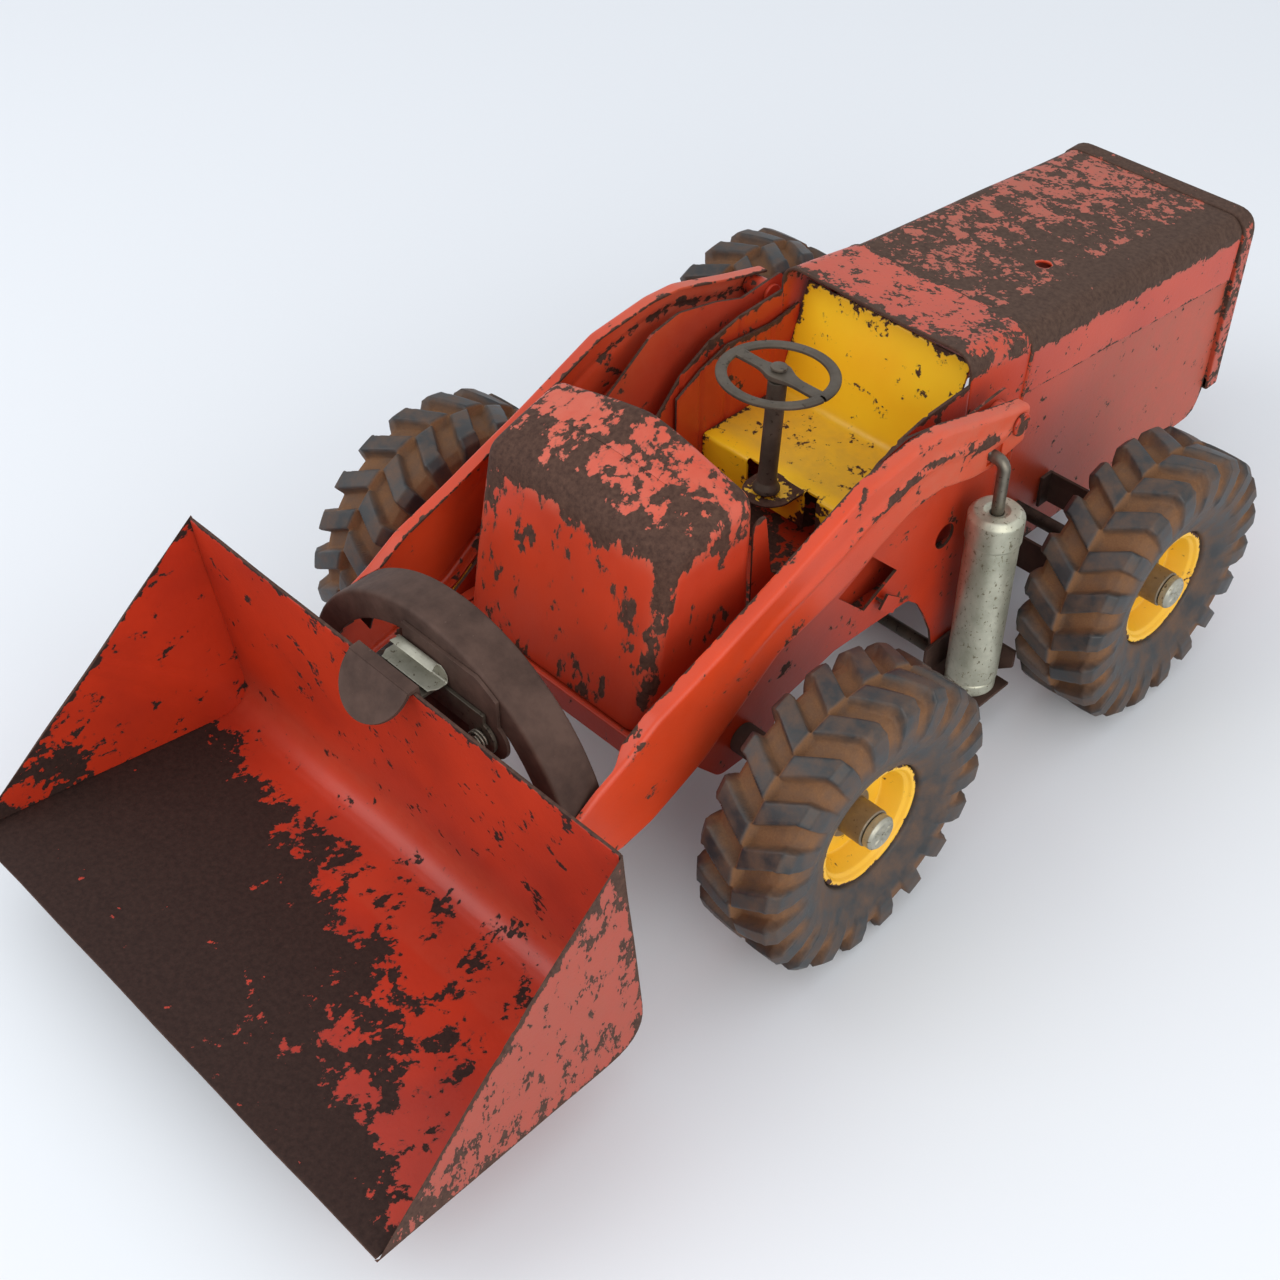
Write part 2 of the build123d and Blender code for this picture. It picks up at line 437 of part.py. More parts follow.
# ------------------------------------------------------------------ bucket and its latch
def bucket():
    parts = {}
    (ty, tz), (hy, hz), (ly, lz) = BUCKET_TOP, BUCKET_HEEL, BUCKET_LIP
    wall_len, floor_len = hypot(hy - ty, hz - tz), hypot(ly - hy, lz - hz)
    wall_out = ((hz - tz) / wall_len * -1, (hy - ty) / wall_len)          # points rearward
    floor_out = ((hz - lz) / floor_len, -(hy - ly) / floor_len)           # points down
    t = SHEET
    shift = lambda p, *ns: (p[0] - t * sum(n[0] for n in ns), p[1] - t * sum(n[1] for n in ns))
    top_in, lip_in = shift(BUCKET_TOP, wall_out), shift(BUCKET_LIP, floor_out)
    heel_in = shift(BUCKET_HEEL, wall_out, floor_out)
    shell = side_plate([BUCKET_TOP, BUCKET_HEEL, BUCKET_LIP, lip_in, heel_in, top_in], -120, 120,
                       {1: HEEL_R, 4: HEEL_R - t})
    turn = degrees(atan2(BUCKET_FLARE, ty - ly))
    at = Pos(BUCKET_HALF, ty, 0) * Rot(0, 0, turn)
    trim = at * Pos(100 - t - GAP / 2, 0, 60) * Box(200, 400, 200)
    shell = shell - trim - other_side(trim)
    parts["bucket_shell"] = shell
    cheek = side_plate([(0, tz), (hy - ty, hz), ((ly - ty) / cos(radians(turn)), lz)], -t, 0, {1: HEEL_R})
    cheek = at * cheek
    parts["bucket_side_left"], parts["bucket_side_right"] = cheek, other_side(cheek)

    slope = degrees(atan2(hy - ty, tz - hz))          # lean of the back wall
    foot_t = (HINGE_Z - tz) / (hz - tz)
    wall = Pos(0, ty + (hy - ty) * foot_t, HINGE_Z) * Rot(slope, 0, 0)   # +y leaves the wall, z runs up it
    reach = (HINGE_Y - (ty + (hy - ty) * foot_t)) * cos(radians(slope))
    x1 = ARM_X - WEB - GAP - WEB - 0.5
    x0 = x1 - WEB
    drop = -(HINGE_Y - (ty + (hy - ty) * foot_t)) * sin(radians(slope))
    blade = side_plate([(GAP, -10), (GAP, 10), (reach, 6.8 + drop), (reach, -6.8 + drop)], x0, x1)
    blade += bar_x(6.8, x0, x1, reach, drop)
    base = block(x0 - 10, x1, GAP, GAP + WEB, -10, 10)
    ear = wall * (blade + base)
    ear -= bar_x(2.2 + RUN, -90, 90, HINGE_Y, HINGE_Z)
    parts["bucket_ear_left"], parts["bucket_ear_right"] = ear, other_side(ear)

    pin = bar_x(2.2, x0 - 1.4, ARM_X + 1.0, HINGE_Y, HINGE_Z)
    pin += bar_x(3.6, ARM_X + 0.1, ARM_X + 1.2, HINGE_Y, HINGE_Z)
    pin += bar_x(3.4, x0 - 1.6, x0 - 0.35, HINGE_Y, HINGE_Z)
    pin += bar_x(3.4, x1 + 0.35, ARM_X - WEB - GAP, HINGE_Y, HINGE_Z)
    parts["bucket_pins"] = Compound([pin, other_side(pin)])

    lean = Pos(0, ty, tz) * Rot(slope, 0, 0)
    rear = block(-12.5, 12.5, GAP, GAP + WEB, -9, 1.2)
    over = block(-12.5, 12.5, -t - GAP - WEB, GAP + WEB, GAP, GAP + WEB)
    leaf = Pos(0, 2) * Circle(12.4) & Pos(0, 7.5) * Rectangle(25, 15)
    leaf = extrude(Plane.XY * leaf, amount=WEB)
    leaf = Pos(0, -t - GAP - WEB * 0.4, GAP + 0.1) * Rot(0, 0, 180) * Rot(-42, 0, 0) * leaf
    parts["bucket_catch"] = lean * (rear + over + leaf)
    return parts


def latch():
    """Spring latch under the arch: a plated thumb tab works a lever that stands behind the bucket catch."""
    front = ARCH_Y - ARCH_W / 2
    px, pz = 25.0, 88.0                     # lever pivot
    y1 = front - GAP
    shape = Plane.XZ * (Pos(11, 96.5) * Rectangle(38, 21) + Pos(px + 2, pz) * Circle(6.5))
    plate = Pos(0, y1, 0) * extrude(shape, amount=WEB)
    plate &= Pos(0, y1, ARCH_C) * Rot(90, 0, 0) * Cylinder(ARCH_R - 1, 20)
    plate -= bar_y(1.85, y1 - 5, y1 + 5, px, pz)
    y2 = y1 - WEB - 0.35
    arm = Plane.XZ * (Pos(7, 92.6) * Rectangle(38, 7.6) + Pos(px, pz) * Circle(5.2))
    lever = Pos(0, y2, 0) * extrude(arm, amount=WEB)
    lever += block(-11, 9, y2 - 8.8, y2 - 0.2, 95.2, 95.2 + WEB) + block(-11, 9, y2 - 8.8, y2 - 7.6, 91.5, 96)
    lever -= bar_y(1.8 + RUN, y2 - 5, y2 + 5, px, pz)
    thumb = block(-11, 11, y2 - 6.5, y2 - 0.4, 96.6, 97.7) + block(-11, 11, y2 - WEB, y2 - 0.1, 96.6, 104)
    pin = bar_y(1.8, y2 - WEB - 3.4, y1 + 1.1, px, pz) + bar_y(3.2, y2 - WEB - 4.4, y2 - WEB - 3.3, px, pz)
    pin += bar_y(3.2, y1 + GAP, y1 + 1.2, px, pz)
    coil = Helix(pitch=0.95, height=2.1, radius=2.75)
    wire = sweep(Plane(origin=coil @ 0, z_dir=coil % 0) * Circle(0.4), coil)
    spring = Pos(px, y2 - WEB - 0.6, pz) * Rot(90, 0, 0) * wire
    return {"latch_plate": plate, "latch_lever": lever, "thumb_tab": thumb, "latch_pin": pin, "latch_spring": spring}


# ------------------------------------------------------------------ assembly and export
def main():
    parts = {}
    for group in (wheels, chassis, front_box, cockpit, steering, hood, boom, rams, bucket, latch):
        parts.update(group())
    place = Pos(0, -(REAR_Y + BUCKET_LIP[0]) / 2, TYRE_R - AXLE_Z)
    os.makedirs("parts", exist_ok=True)
    for name, shape in parts.items():
        export_step(place * shape, f"parts/{name}.step")
    print(len(parts), "nodes, shifted by", place.position)


main()
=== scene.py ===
"""A worn pressed-steel toy wheel loader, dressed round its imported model.

Lengths are in millimetres unless a name ends in _m. Places are given from the middle of the front axle's
length on the floor: x to the machine's left, y to the rear, z up. The sections follow the order of assembly.
"""

import bmesh
import bpy
import numpy as np
from mathutils import Matrix, Vector, noise


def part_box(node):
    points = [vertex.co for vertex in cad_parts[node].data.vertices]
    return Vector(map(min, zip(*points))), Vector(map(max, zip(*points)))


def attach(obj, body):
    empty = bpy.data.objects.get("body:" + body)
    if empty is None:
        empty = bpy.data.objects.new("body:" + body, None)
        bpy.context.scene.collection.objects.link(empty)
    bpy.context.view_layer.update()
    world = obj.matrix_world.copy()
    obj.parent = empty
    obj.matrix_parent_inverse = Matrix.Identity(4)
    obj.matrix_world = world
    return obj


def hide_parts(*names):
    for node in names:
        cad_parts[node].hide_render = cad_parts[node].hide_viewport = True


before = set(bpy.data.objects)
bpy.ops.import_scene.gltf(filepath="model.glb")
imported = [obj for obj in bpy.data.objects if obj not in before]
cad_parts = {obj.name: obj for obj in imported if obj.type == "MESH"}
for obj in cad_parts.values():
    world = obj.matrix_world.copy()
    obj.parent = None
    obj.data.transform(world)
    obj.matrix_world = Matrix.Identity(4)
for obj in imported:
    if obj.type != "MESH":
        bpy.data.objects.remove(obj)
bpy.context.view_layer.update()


# ---------------------------------------------------------------- wheels: tyres
# Each tyre is one moulding of black rubber: a carcass with twenty slanted lugs on each half of the tread,
# a thin mould line round the middle, and bare sidewalls. Dust has gone brown in the grooves.

MM = 0.001
SIDES = (("left", 1), ("right", -1))
AXLE_FRONT_Y = (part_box("axle_front")[0].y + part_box("axle_front")[1].y) / 2      # metres, in the frame
AXLE_Z = (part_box("axle_front")[0].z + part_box("axle_front")[1].z) / 2 / MM
WHEELBASE = (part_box("axle_rear")[0].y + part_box("axle_rear")[1].y) / 2 / MM - AXLE_FRONT_Y / MM
WHEEL_X = (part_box("tyre_front_left")[0].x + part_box("tyre_front_left")[1].x) / 2 / MM
WHEELS = [(end, side, sign, y) for end, y in (("front", 0.0), ("rear", WHEELBASE))
          for side, sign in SIDES]


def linear(hexa):
    """An sRGB hex colour as linear RGBA: below 0.04045 the value over 12.92, above it a 2.4 power."""
    c = np.array([int(hexa[i:i + 2], 16) for i in (1, 3, 5)]) / 255
    return (*np.where(c <= 0.04045, c / 12.92, ((c + 0.055) / 1.055) ** 2.4), 1.0)


def add(tree, kind, inputs=(), **settings):
    """Adds a shader node with its settings, and fills its sockets with values or links to other sockets."""
    made = tree.nodes.new("ShaderNode" + kind)
    for key, value in settings.items():
        setattr(made, key, value)
    for key, value in dict(inputs).items():
        if isinstance(value, bpy.types.NodeSocket):
            tree.links.new(value, made.inputs[key])
        else:
            made.inputs[key].default_value = value
    return made


def new_material(name):
    """An empty node material with its output node, and its tree."""
    made = bpy.data.materials.new(name)
    made.use_nodes = True
    made.node_tree.nodes.clear()
    return made, made.node_tree


def in_scene(name, data):
    """A new object with this data, in the scene."""
    made = bpy.data.objects.new(name, data)
    bpy.context.scene.collection.objects.link(made)
    return made


def mesh_object(name, rows, closed=(False, False), away_from=None, **point_values):
    """One mesh from one or more grids of points (rows, columns, xyz), in mm from the front axle.

    Neighbouring points are joined by quads, round to the start where a direction is closed. The faces are
    turned to look away from the point away_from. Every value in point_values is spread over the grid and
    becomes a point attribute.
    """
    grids = rows if isinstance(rows, list) else [rows]
    points, faces, start = [], [], 0
    for grid in grids:
        n, m = grid.shape[:2]
        index = np.arange(n * m).reshape(n, m) + start
        if closed[0]:
            index = np.vstack([index, index[:1]])
        if closed[1]:
            index = np.hstack([index, index[:, :1]])
        quads = np.stack([index[:-1, :-1], index[1:, :-1], index[1:, 1:], index[:-1, 1:]], -1).reshape(-1, 4)
        points.append(grid.reshape(-1, 3))
        faces.append(quads)
        start += n * m
    points, faces = np.vstack(points), np.vstack(faces)
    if away_from is not None:
        corners = points[faces]
        normal = np.cross(corners[:, 2] - corners[:, 0], corners[:, 3] - corners[:, 1])
        if np.sum(normal * (corners.mean(1) - np.array(away_from))) < 0:
            faces = faces[:, ::-1]
    mesh = bpy.data.meshes.new(name)
    mesh.from_pydata((points * MM + [0, AXLE_FRONT_Y, 0]).tolist(), [], faces.tolist())
    for key, value in point_values.items():
        layer = mesh.attributes.new(key, "FLOAT", "POINT")
        spread = np.broadcast_to(value, grids[0].shape[:2] if len(grids) == 1 else len(points))
        layer.data.foreach_set("value", spread.astype(np.float32).ravel())
    mesh.polygons.foreach_set("use_smooth", [True] * len(mesh.polygons))
    mesh.validate()
    return in_scene(name, mesh)


def fit(piece, body, nodes, materials):
    """Gives a finished piece its materials, and ties it to its CAD body and nodes, if it stands for any."""
    for material in materials:
        piece.data.materials.append(material)
    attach(piece, body)
    if nodes:
        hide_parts(*nodes)
    return piece


def smooth_step(low, high, value):
    """0 below low, 1 above high, and an S curve between."""
    t = np.clip((value - low) / (high - low), 0, 1)
    return t * t * (3 - 2 * t)


def dusty_rubber():
    """Old black rubber, semi-matt from handling, with brown dust where the attribute dust is high."""
    made, tree = new_material("vulcanised_rubber_dusty")
    place = add(tree, "TexCoord").outputs["Object"]
    dust = add(tree, "Attribute", attribute_name="dust").outputs["Fac"]
    cloud = add(tree, "TexNoise", {"Vector": place, "Scale": 150.0, "Detail": 5.0, "Roughness": 0.6})
    grit = add(tree, "TexNoise", {"Vector": place, "Scale": 1900.0, "Detail": 3.0, "Roughness": 0.7})
    spread = add(tree, "Math", {0: cloud.outputs["Fac"], 1: 1.5, 2: -0.62}, operation="MULTIPLY_ADD")
    amount = add(tree, "Math", {0: dust, 1: spread.outputs[0]}, operation="ADD", use_clamp=True)
    black = add(tree, "Mix", {0: cloud.outputs["Fac"], 6: linear("#232527"), 7: linear("#353637")}, data_type="RGBA")
    brown = add(tree, "Mix", {0: grit.outputs["Fac"], 6: linear("#5C3D28"), 7: linear("#86603F")}, data_type="RGBA")
    colour = add(tree, "Mix", {0: amount.outputs[0], 6: black.outputs[2], 7: brown.outputs[2]}, data_type="RGBA")
    rough = add(tree, "MapRange", {"Value": amount.outputs[0], "To Min": 0.42, "To Max": 0.9})
    bump = add(tree, "Bump", {"Height": grit.outputs["Fac"], "Strength": 0.35, "Distance": 0.00015})
    shader = add(tree, "BsdfPrincipled", {"Base Color": colour.outputs[2], "Roughness": rough.outputs[0],
                                          "Specular IOR Level": 0.42, "Normal": bump.outputs[0]})
    add(tree, "OutputMaterial", {"Surface": shader.outputs[0]})
    return made


TYRE_R, LUGS = 47.0, 20
# the carcass and the faces of the lugs, as half profiles (across, radius) with matching knots
CARCASS = [(0, 43.6), (4.5, 43.3), (9, 43.0), (11.6, 42.1), (13.4, 40.0), (14.3, 36.5), (14.5, 32.6), (13.9, 29.0),
           (12.9, 26.0), (11.6, 22.6), (11.0, 20.9), (9.4, 20.5), (8.8, 20.2), (8.7, 19.1)]
LUG_FACE = [(0, 46.9), (4.6, 47.0), (9.4, 46.9), (12.6, 46.7), (14.9, 44.2), (15.45, 39.0), (15.2, 33.2),
            (14.0, 29.0)] + CARCASS[8:]


def tyre_grid(turns=660):
    """Radius and width go from the carcass to the lug faces by a height that is 1 on a lug and 0 in a groove.

    A lug's middle line moves round the tyre as it goes from the tread's middle to its shoulder, and its
    flanks are an S curve 1.1 mm wide. The halves are half a lug apart.
    """
    knots = np.arange(len(CARCASS), dtype=float)
    fine = np.concatenate([np.linspace(0, 2, 13), np.linspace(2, 4, 13)[1:], np.linspace(4, 7, 15)[1:],
                           np.linspace(7, 13, 13)[1:]])
    base = np.stack([np.interp(fine, knots, np.array(CARCASS)[:, i]) for i in (0, 1)], -1)
    face = np.stack([np.interp(fine, knots, np.array(LUG_FACE)[:, i]) for i in (0, 1)], -1)
    halves = [(-1, slice(None, 0, -1)), (1, slice(None))]
    base = np.vstack([base[part] * [sign, 1] for sign, part in halves])
    face = np.vstack([face[part] * [sign, 1] for sign, part in halves])
    angle = np.linspace(0, 2 * np.pi, turns, endpoint=False)[:, None]
    across = np.abs(face[:, 0])[None, :]
    side = np.sign(face[:, 0])[None, :]
    radius = face[:, 1][None, :]
    pitch = 2 * np.pi / LUGS
    sweep = np.where(radius > 43, np.interp(across, [0.3, 11.5, 15.5], [0, 6.6, 7.2]), 7.2)
    round_by = (angle * TYRE_R - sweep - np.where(side < 0, pitch * TYRE_R / 2, 0)) / (pitch * TYRE_R)
    off = np.abs((round_by + 0.5) % 1 - 0.5) * pitch * radius
    half_width = np.interp(across, [0, 11.5, 15.5], [3.9, 3.6, 3.45]) * np.where(radius < 40, radius / 40, 1)
    height = smooth_step(-0.55, 0.55, half_width - off) * smooth_step(0.15, 0.7, across)
    height = height * smooth_step(29, 33.5, radius)
    line = 0.8 * np.exp(-(across / 0.42) ** 2) * (radius > 43)
    shape = np.maximum(height, line)[..., None]
    profile = base[None] * (1 - shape) + face[None] * shape
    bare_ring = 0.35 * np.exp(-((radius - 26.5) / 0.5) ** 2) * side
    x = profile[..., 0] + bare_ring
    grid = np.stack([x, profile[..., 1] * np.sin(angle), profile[..., 1] * np.cos(angle)], -1)
    groove = (1 - height) * smooth_step(30, 41, radius)
    dust = 0.02 + 0.72 * groove + 0.22 * line + 0.16 * smooth_step(28, 21, radius)
    return grid, dust


rubber = dusty_rubber()
tyre_points, tyre_dust = tyre_grid()
for end, side, sign, y in WHEELS:
    placed = tyre_points * [sign, sign, 1] + [sign * WHEEL_X, y, AXLE_Z]
    tyre = mesh_object(f"tyre_{end}_{side}_rubber", placed, (True, True), None, dust=tyre_dust)
    # the first faces show which way the closed surface looks
    if sum(p.normal.dot(p.center - Vector((sign * WHEEL_X * MM, y * MM + AXLE_FRONT_Y, AXLE_Z * MM)))
           for p in tyre.data.polygons[:2000]) < 0:
        tyre.data.flip_normals()
    fit(tyre, f"wheel_{end}_{side}", [f"tyre_{end}_{side}"], [rubber])


# ---------------------------------------------------------------- wheels: hubs, bushes and caps
# Two pressed discs in yellow enamel hold each tyre with their rolled lips. A turned bush of dull steel goes
# through them, and a plated push-on cap with a crimped star closes each axle end.

def rounded_line(points, radius, step=1.0, closed=False):
    """A line through points with its corners rounded, one point about every step.

    Each corner is cut back by the radius times the tangent of half its turn, at most 0.48 of the shorter
    run, and a parabola through the corner's control point bridges the cut.
    """
    p = np.array(points, float)
    radii = np.broadcast_to(np.asarray(radius, float), len(p))
    n = len(p)
    line = []
    for i in range(n):
        if not closed and i in (0, n - 1):
            line.append(p[i:i + 1])
            continue
        before, after = p[i - 1] - p[i], p[(i + 1) % n] - p[i]
        short = min(np.linalg.norm(before), np.linalg.norm(after))
        a, b = before / np.linalg.norm(before), after / np.linalg.norm(after)
        half_turn = (np.pi - np.arccos(np.clip(a @ b, -1, 1))) / 2
        cut = min(radii[i] * np.tan(half_turn), 0.48 * short)
        count = max(2, int(np.ceil(2 * half_turn / 0.26)) + 1)
        t = np.linspace(0, 1, count)[:, None]
        line.append((1 - t) ** 2 * (p[i] + a * cut) + 2 * t * (1 - t) * p[i] + t ** 2 * (p[i] + b * cut))
    line = np.vstack(line)
    if closed:
        line = np.vstack([line, line[:1]])
    filled = [line[:1]]
    for a, b in zip(line[:-1], line[1:]):
        count = max(1, int(np.ceil(np.linalg.norm(b - a) / step)))
        filled.append(a + (b - a) * (np.arange(1, count + 1) / count)[:, None])
    filled = np.vstack(filled)
    keep = np.concatenate([[True], np.linalg.norm(np.diff(filled, axis=0), axis=1) > 1e-5])
    filled = filled[keep]
    return filled[:-1] if closed else filled


def grid_of(x, y, z):
    """A grid of points from x, y and z, each spread over the shape they share."""
    return np.stack(np.broadcast_arrays(x, y, z), -1)


def mended(piece, join=0.0, capped=False):
    """Joins points within join mm of each other, closes open ends, and turns the faces outwards."""
    work = bmesh.new()
    work.from_mesh(piece.data)
    if join:
        bmesh.ops.remove_doubles(work, verts=work.verts, dist=join * MM)
    if capped:
        bmesh.ops.contextual_create(work, geom=[e for e in work.edges if len(e.link_faces) == 1])
    bmesh.ops.recalc_face_normals(work, faces=work.faces)
    work.to_mesh(piece.data)
    work.free()
    return piece


def turned(profile, count=120):
    """A profile of (along, radius) points carried round the x axis: y and z are radius times sine and cosine."""
    angle = np.linspace(0, 2 * np.pi, count, endpoint=False)[:, None]
    along, radius = profile[:, 0][None, :], profile[:, 1][None, :]
    return grid_of(along, radius * np.sin(angle), radius * np.cos(angle))


def worn_enamel(name, fresh, deep, faded, more_wear=0.0, chip_mm=11.0, stretch=(1, 1, 1), seed=0.0,
                bare_dark="#3A2721", bare_light="#5A4136"):
    """Stove enamel on sheet steel, chipped down to steel that has gone brown.

    Chips are where a ragged noise passes a limit that the attribute wear lowers, so 0 is sound paint and 1 is
    bare steel. The attribute fade turns the colour pale and pinkish. The paint's edge stands up a little.
    """
    made, tree = new_material(name)
    place = add(tree, "TexCoord").outputs["Object"]
    wear = add(tree, "Attribute", attribute_name="wear").outputs["Fac"]
    fade = add(tree, "Attribute", attribute_name="fade").outputs["Fac"]
    drawn = add(tree, "Mapping", {"Vector": place, "Scale": stretch, "Location": (seed, seed * 0.7, seed * 0.3)})
    ragged = add(tree, "TexNoise", {"Vector": drawn.outputs[0], "Scale": 1000 / chip_mm, "Detail": 9.0,
                                    "Roughness": 0.62, "Distortion": 0.25})
    pits = add(tree, "TexNoise", {"Vector": drawn.outputs[0], "Scale": 4300 / chip_mm, "Detail": 5.0,
                                  "Roughness": 0.55, "Distortion": 0.2})
    both = add(tree, "Mix", {0: 0.33, 2: ragged.outputs["Fac"], 3: pits.outputs["Fac"]}, data_type="FLOAT")
    limit = add(tree, "Math", {0: wear, 1: -0.34, 2: 0.665 - 0.34 * more_wear}, operation="MULTIPLY_ADD")
    over = add(tree, "Math", {0: both.outputs[0], 1: limit.outputs[0]}, operation="SUBTRACT")
    bare = add(tree, "MapRange", {"Value": over.outputs[0], "From Min": -0.004, "From Max": 0.006})
    halo = add(tree, "MapRange", {"Value": over.outputs[0], "From Min": -0.030, "From Max": 0.0})
    slow = add(tree, "TexNoise", {"Vector": place, "Scale": 28.0, "Detail": 4.0, "Roughness": 0.5})
    mottle = add(tree, "TexNoise", {"Vector": drawn.outputs[0], "Scale": 210.0, "Detail": 6.0, "Roughness": 0.65})
    tone = add(tree, "MapRange", {"Value": slow.outputs["Fac"], "From Min": 0.35, "From Max": 0.68})
    paint = add(tree, "Mix", {0: tone.outputs[0], 6: linear(fresh), 7: linear(deep)}, data_type="RGBA")
    uneven = add(tree, "Math", {0: mottle.outputs["Fac"], 1: 1.6, 2: -0.8}, operation="MULTIPLY_ADD")
    pale = add(tree, "Math", {0: uneven.outputs[0], 1: fade, 2: fade}, operation="MULTIPLY_ADD", use_clamp=True)
    chalk = add(tree, "Mix", {0: pale.outputs[0], 6: paint.outputs[2], 7: linear(faded)}, data_type="RGBA")
    stain = add(tree, "Math", {0: halo.outputs[0], 1: 0.42}, operation="MULTIPLY")
    edge = add(tree, "Mix", {0: stain.outputs[0], 6: chalk.outputs[2], 7: linear(bare_light)}, data_type="RGBA")
    fine = add(tree, "TexNoise", {"Vector": place, "Scale": 620.0, "Detail": 5.0, "Roughness": 0.7})
    steel_tone = add(tree, "MapRange", {"Value": fine.outputs["Fac"], "From Min": 0.3, "From Max": 0.72})
    steel = add(tree, "Mix", {0: steel_tone.outputs[0], 6: linear(bare_dark), 7: linear(bare_light)},
                data_type="RGBA")
    colour = add(tree, "Mix", {0: bare.outputs[0], 6: edge.outputs[2], 7: steel.outputs[2]}, data_type="RGBA")
    gloss = add(tree, "MapRange", {"Value": pale.outputs[0], "To Min": 0.34, "To Max": 0.5})
    rough = add(tree, "Mix", {0: bare.outputs[0], 2: gloss.outputs[0], 3: 0.72}, data_type="FLOAT")
    sheen = add(tree, "Mix", {0: bare.outputs[0], 2: 0.42, 3: 0.16}, data_type="FLOAT")
    level = add(tree, "Math", {0: bare.outputs[0], 1: -1.0, 2: fine.outputs["Fac"]}, operation="MULTIPLY_ADD")
    bump = add(tree, "Bump", {"Height": level.outputs[0], "Strength": 0.5, "Distance": 0.00012})
    shader = add(tree, "BsdfPrincipled", {"Base Color": colour.outputs[2], "Roughness": rough.outputs[0],
                                          "Specular IOR Level": sheen.outputs[0], "Normal": bump.outputs[0]})
    add(tree, "OutputMaterial", {"Surface": shader.outputs[0]})
    return made


def old_metal(name, dark, light, spot, metallic, roughness, speck_mm=1.6, stretch=(1, 1, 1), spots=0.62):
    """Bare or plated metal: two near tones in a fine cloud, with darker spots where the surface has gone."""
    made, tree = new_material(name)
    place = add(tree, "TexCoord").outputs["Object"]
    drawn = add(tree, "Mapping", {"Vector": place, "Scale": stretch}).outputs[0]
    cloud = add(tree, "TexNoise", {"Vector": drawn, "Scale": 90.0, "Detail": 6.0, "Roughness": 0.62})
    speck = add(tree, "TexNoise", {"Vector": drawn, "Scale": 1000 / speck_mm, "Detail": 4.0, "Roughness": 0.65})
    tone = add(tree, "MapRange", {"Value": cloud.outputs["Fac"], "From Min": 0.35, "From Max": 0.66})
    body = add(tree, "Mix", {0: tone.outputs[0], 6: linear(dark), 7: linear(light)}, data_type="RGBA")
    gone = add(tree, "MapRange", {"Value": speck.outputs["Fac"], "From Min": spots, "From Max": spots + 0.04})
    colour = add(tree, "Mix", {0: gone.outputs[0], 6: body.outputs[2], 7: linear(spot)}, data_type="RGBA")
    rough = add(tree, "MapRange", {"Value": speck.outputs["Fac"], "To Min": roughness - 0.12,
                                   "To Max": roughness + 0.16})
    bump = add(tree, "Bump", {"Height": speck.outputs["Fac"], "Strength": 0.3, "Distance": 0.0001})
    shader = add(tree, "BsdfPrincipled", {"Base Color": colour.outputs[2], "Roughness": rough.outputs[0],
                                          "Metallic": metallic, "Specular IOR Level": 0.15 + 0.35 * metallic,
                                          "Normal": bump.outputs[0]})
    add(tree, "OutputMaterial", {"Surface": shader.outputs[0]})
    return made


# yellow stove enamel, and turned and plated steel dulled by hands and dust
yellow = worn_enamel("yellow_stove_enamel", "#F6BE20", "#E6A816", "#E0B448", chip_mm=6.0)
plated = old_metal("dull_zinc_plating", "#8A887A", "#B2B0A2", "#5C5344", 0.6, 0.4)
collar_steel = old_metal("turned_steel_browned", "#6A5F50", "#8A7D6A", "#463C31", 0.55, 0.42)

HUB = [(1.6, 6.2), (1.6, 14.6), (8.2, 17.0), (9.0, 18.0), (10.15, 18.7), (10.15, 20.15), (8.9, 20.15), (8.9, 18.9),
       (0.0, 18.2), (-8.9, 18.9), (-8.9, 20.15), (-10.15, 20.15), (-10.15, 18.7), (-9.0, 18.0), (-8.2, 17.0),
       (-1.6, 14.6), (-1.6, 6.2)]
BUSH = [(-14.6, 2.5), (-14.6, 4.6), (-1.6, 4.6), (-1.6, 6.0), (1.7, 6.0), (1.7, 8.0), (2.9, 8.0), (3.2, 6.0),
        (11.1, 6.0), (11.4, 5.6), (11.4, 2.5)]


def cap_grid(count=72):
    """A flat cap turned round x, whose face is pressed in by six petals: depth is a cosine of six times the
    angle, strongest halfway out."""
    profile = rounded_line([(11.7, 2.6), (11.7, 5.5), (13.8, 5.5), (14.7, 4.6), (14.7, 0.02)], [0, 0.3, 0.5, 0.6, 0],
                           0.25)
    grid = turned(profile, count)
    angle = np.linspace(0, 2 * np.pi, count, endpoint=False)[:, None]
    radius = profile[:, 1][None, :]
    face = (profile[:, 0] > 14.6)[None, :]
    petals = np.maximum(0, np.cos(6 * angle)) * np.exp(-((radius - 2.6) / 1.1) ** 2)
    dish = np.exp(-(radius / 1.0) ** 2)
    grid[..., 0] -= face * (0.75 * petals + 0.4 * dish)
    return grid


hub_line = rounded_line(HUB, 0.9, 0.6, closed=True)
bush_line = rounded_line(BUSH, 0.3, 0.8, closed=True)
lip_wear = smooth_step(18.4, 20.1, hub_line[:, 1]) * (np.abs(hub_line[:, 0]) > 7.5)
caps = []
for end, side, sign, y in WHEELS:
    centre = [sign * WHEEL_X, y, AXLE_Z]
    shell = turned(hub_line, 132)
    hub = mesh_object(f"hub_{end}_{side}_discs", shell * [sign, sign, 1] + centre, (True, True), None,
                      wear=0.12 + 0.42 * lip_wear, fade=0.25)
    fit(mended(hub), f"wheel_{end}_{side}", [f"hub_{end}_{side}"], [yellow])
    bush = mesh_object(f"bush_{end}_{side}_collar", turned(bush_line, 72) * [sign, sign, 1] + centre, (True, True),
                       [sign * (WHEEL_X - 2), y, AXLE_Z])
    fit(bush, f"wheel_{end}_{side}", [f"bush_{end}_{side}"], [collar_steel])
    caps.append(cap_grid() * [sign, sign, 1] + centre)
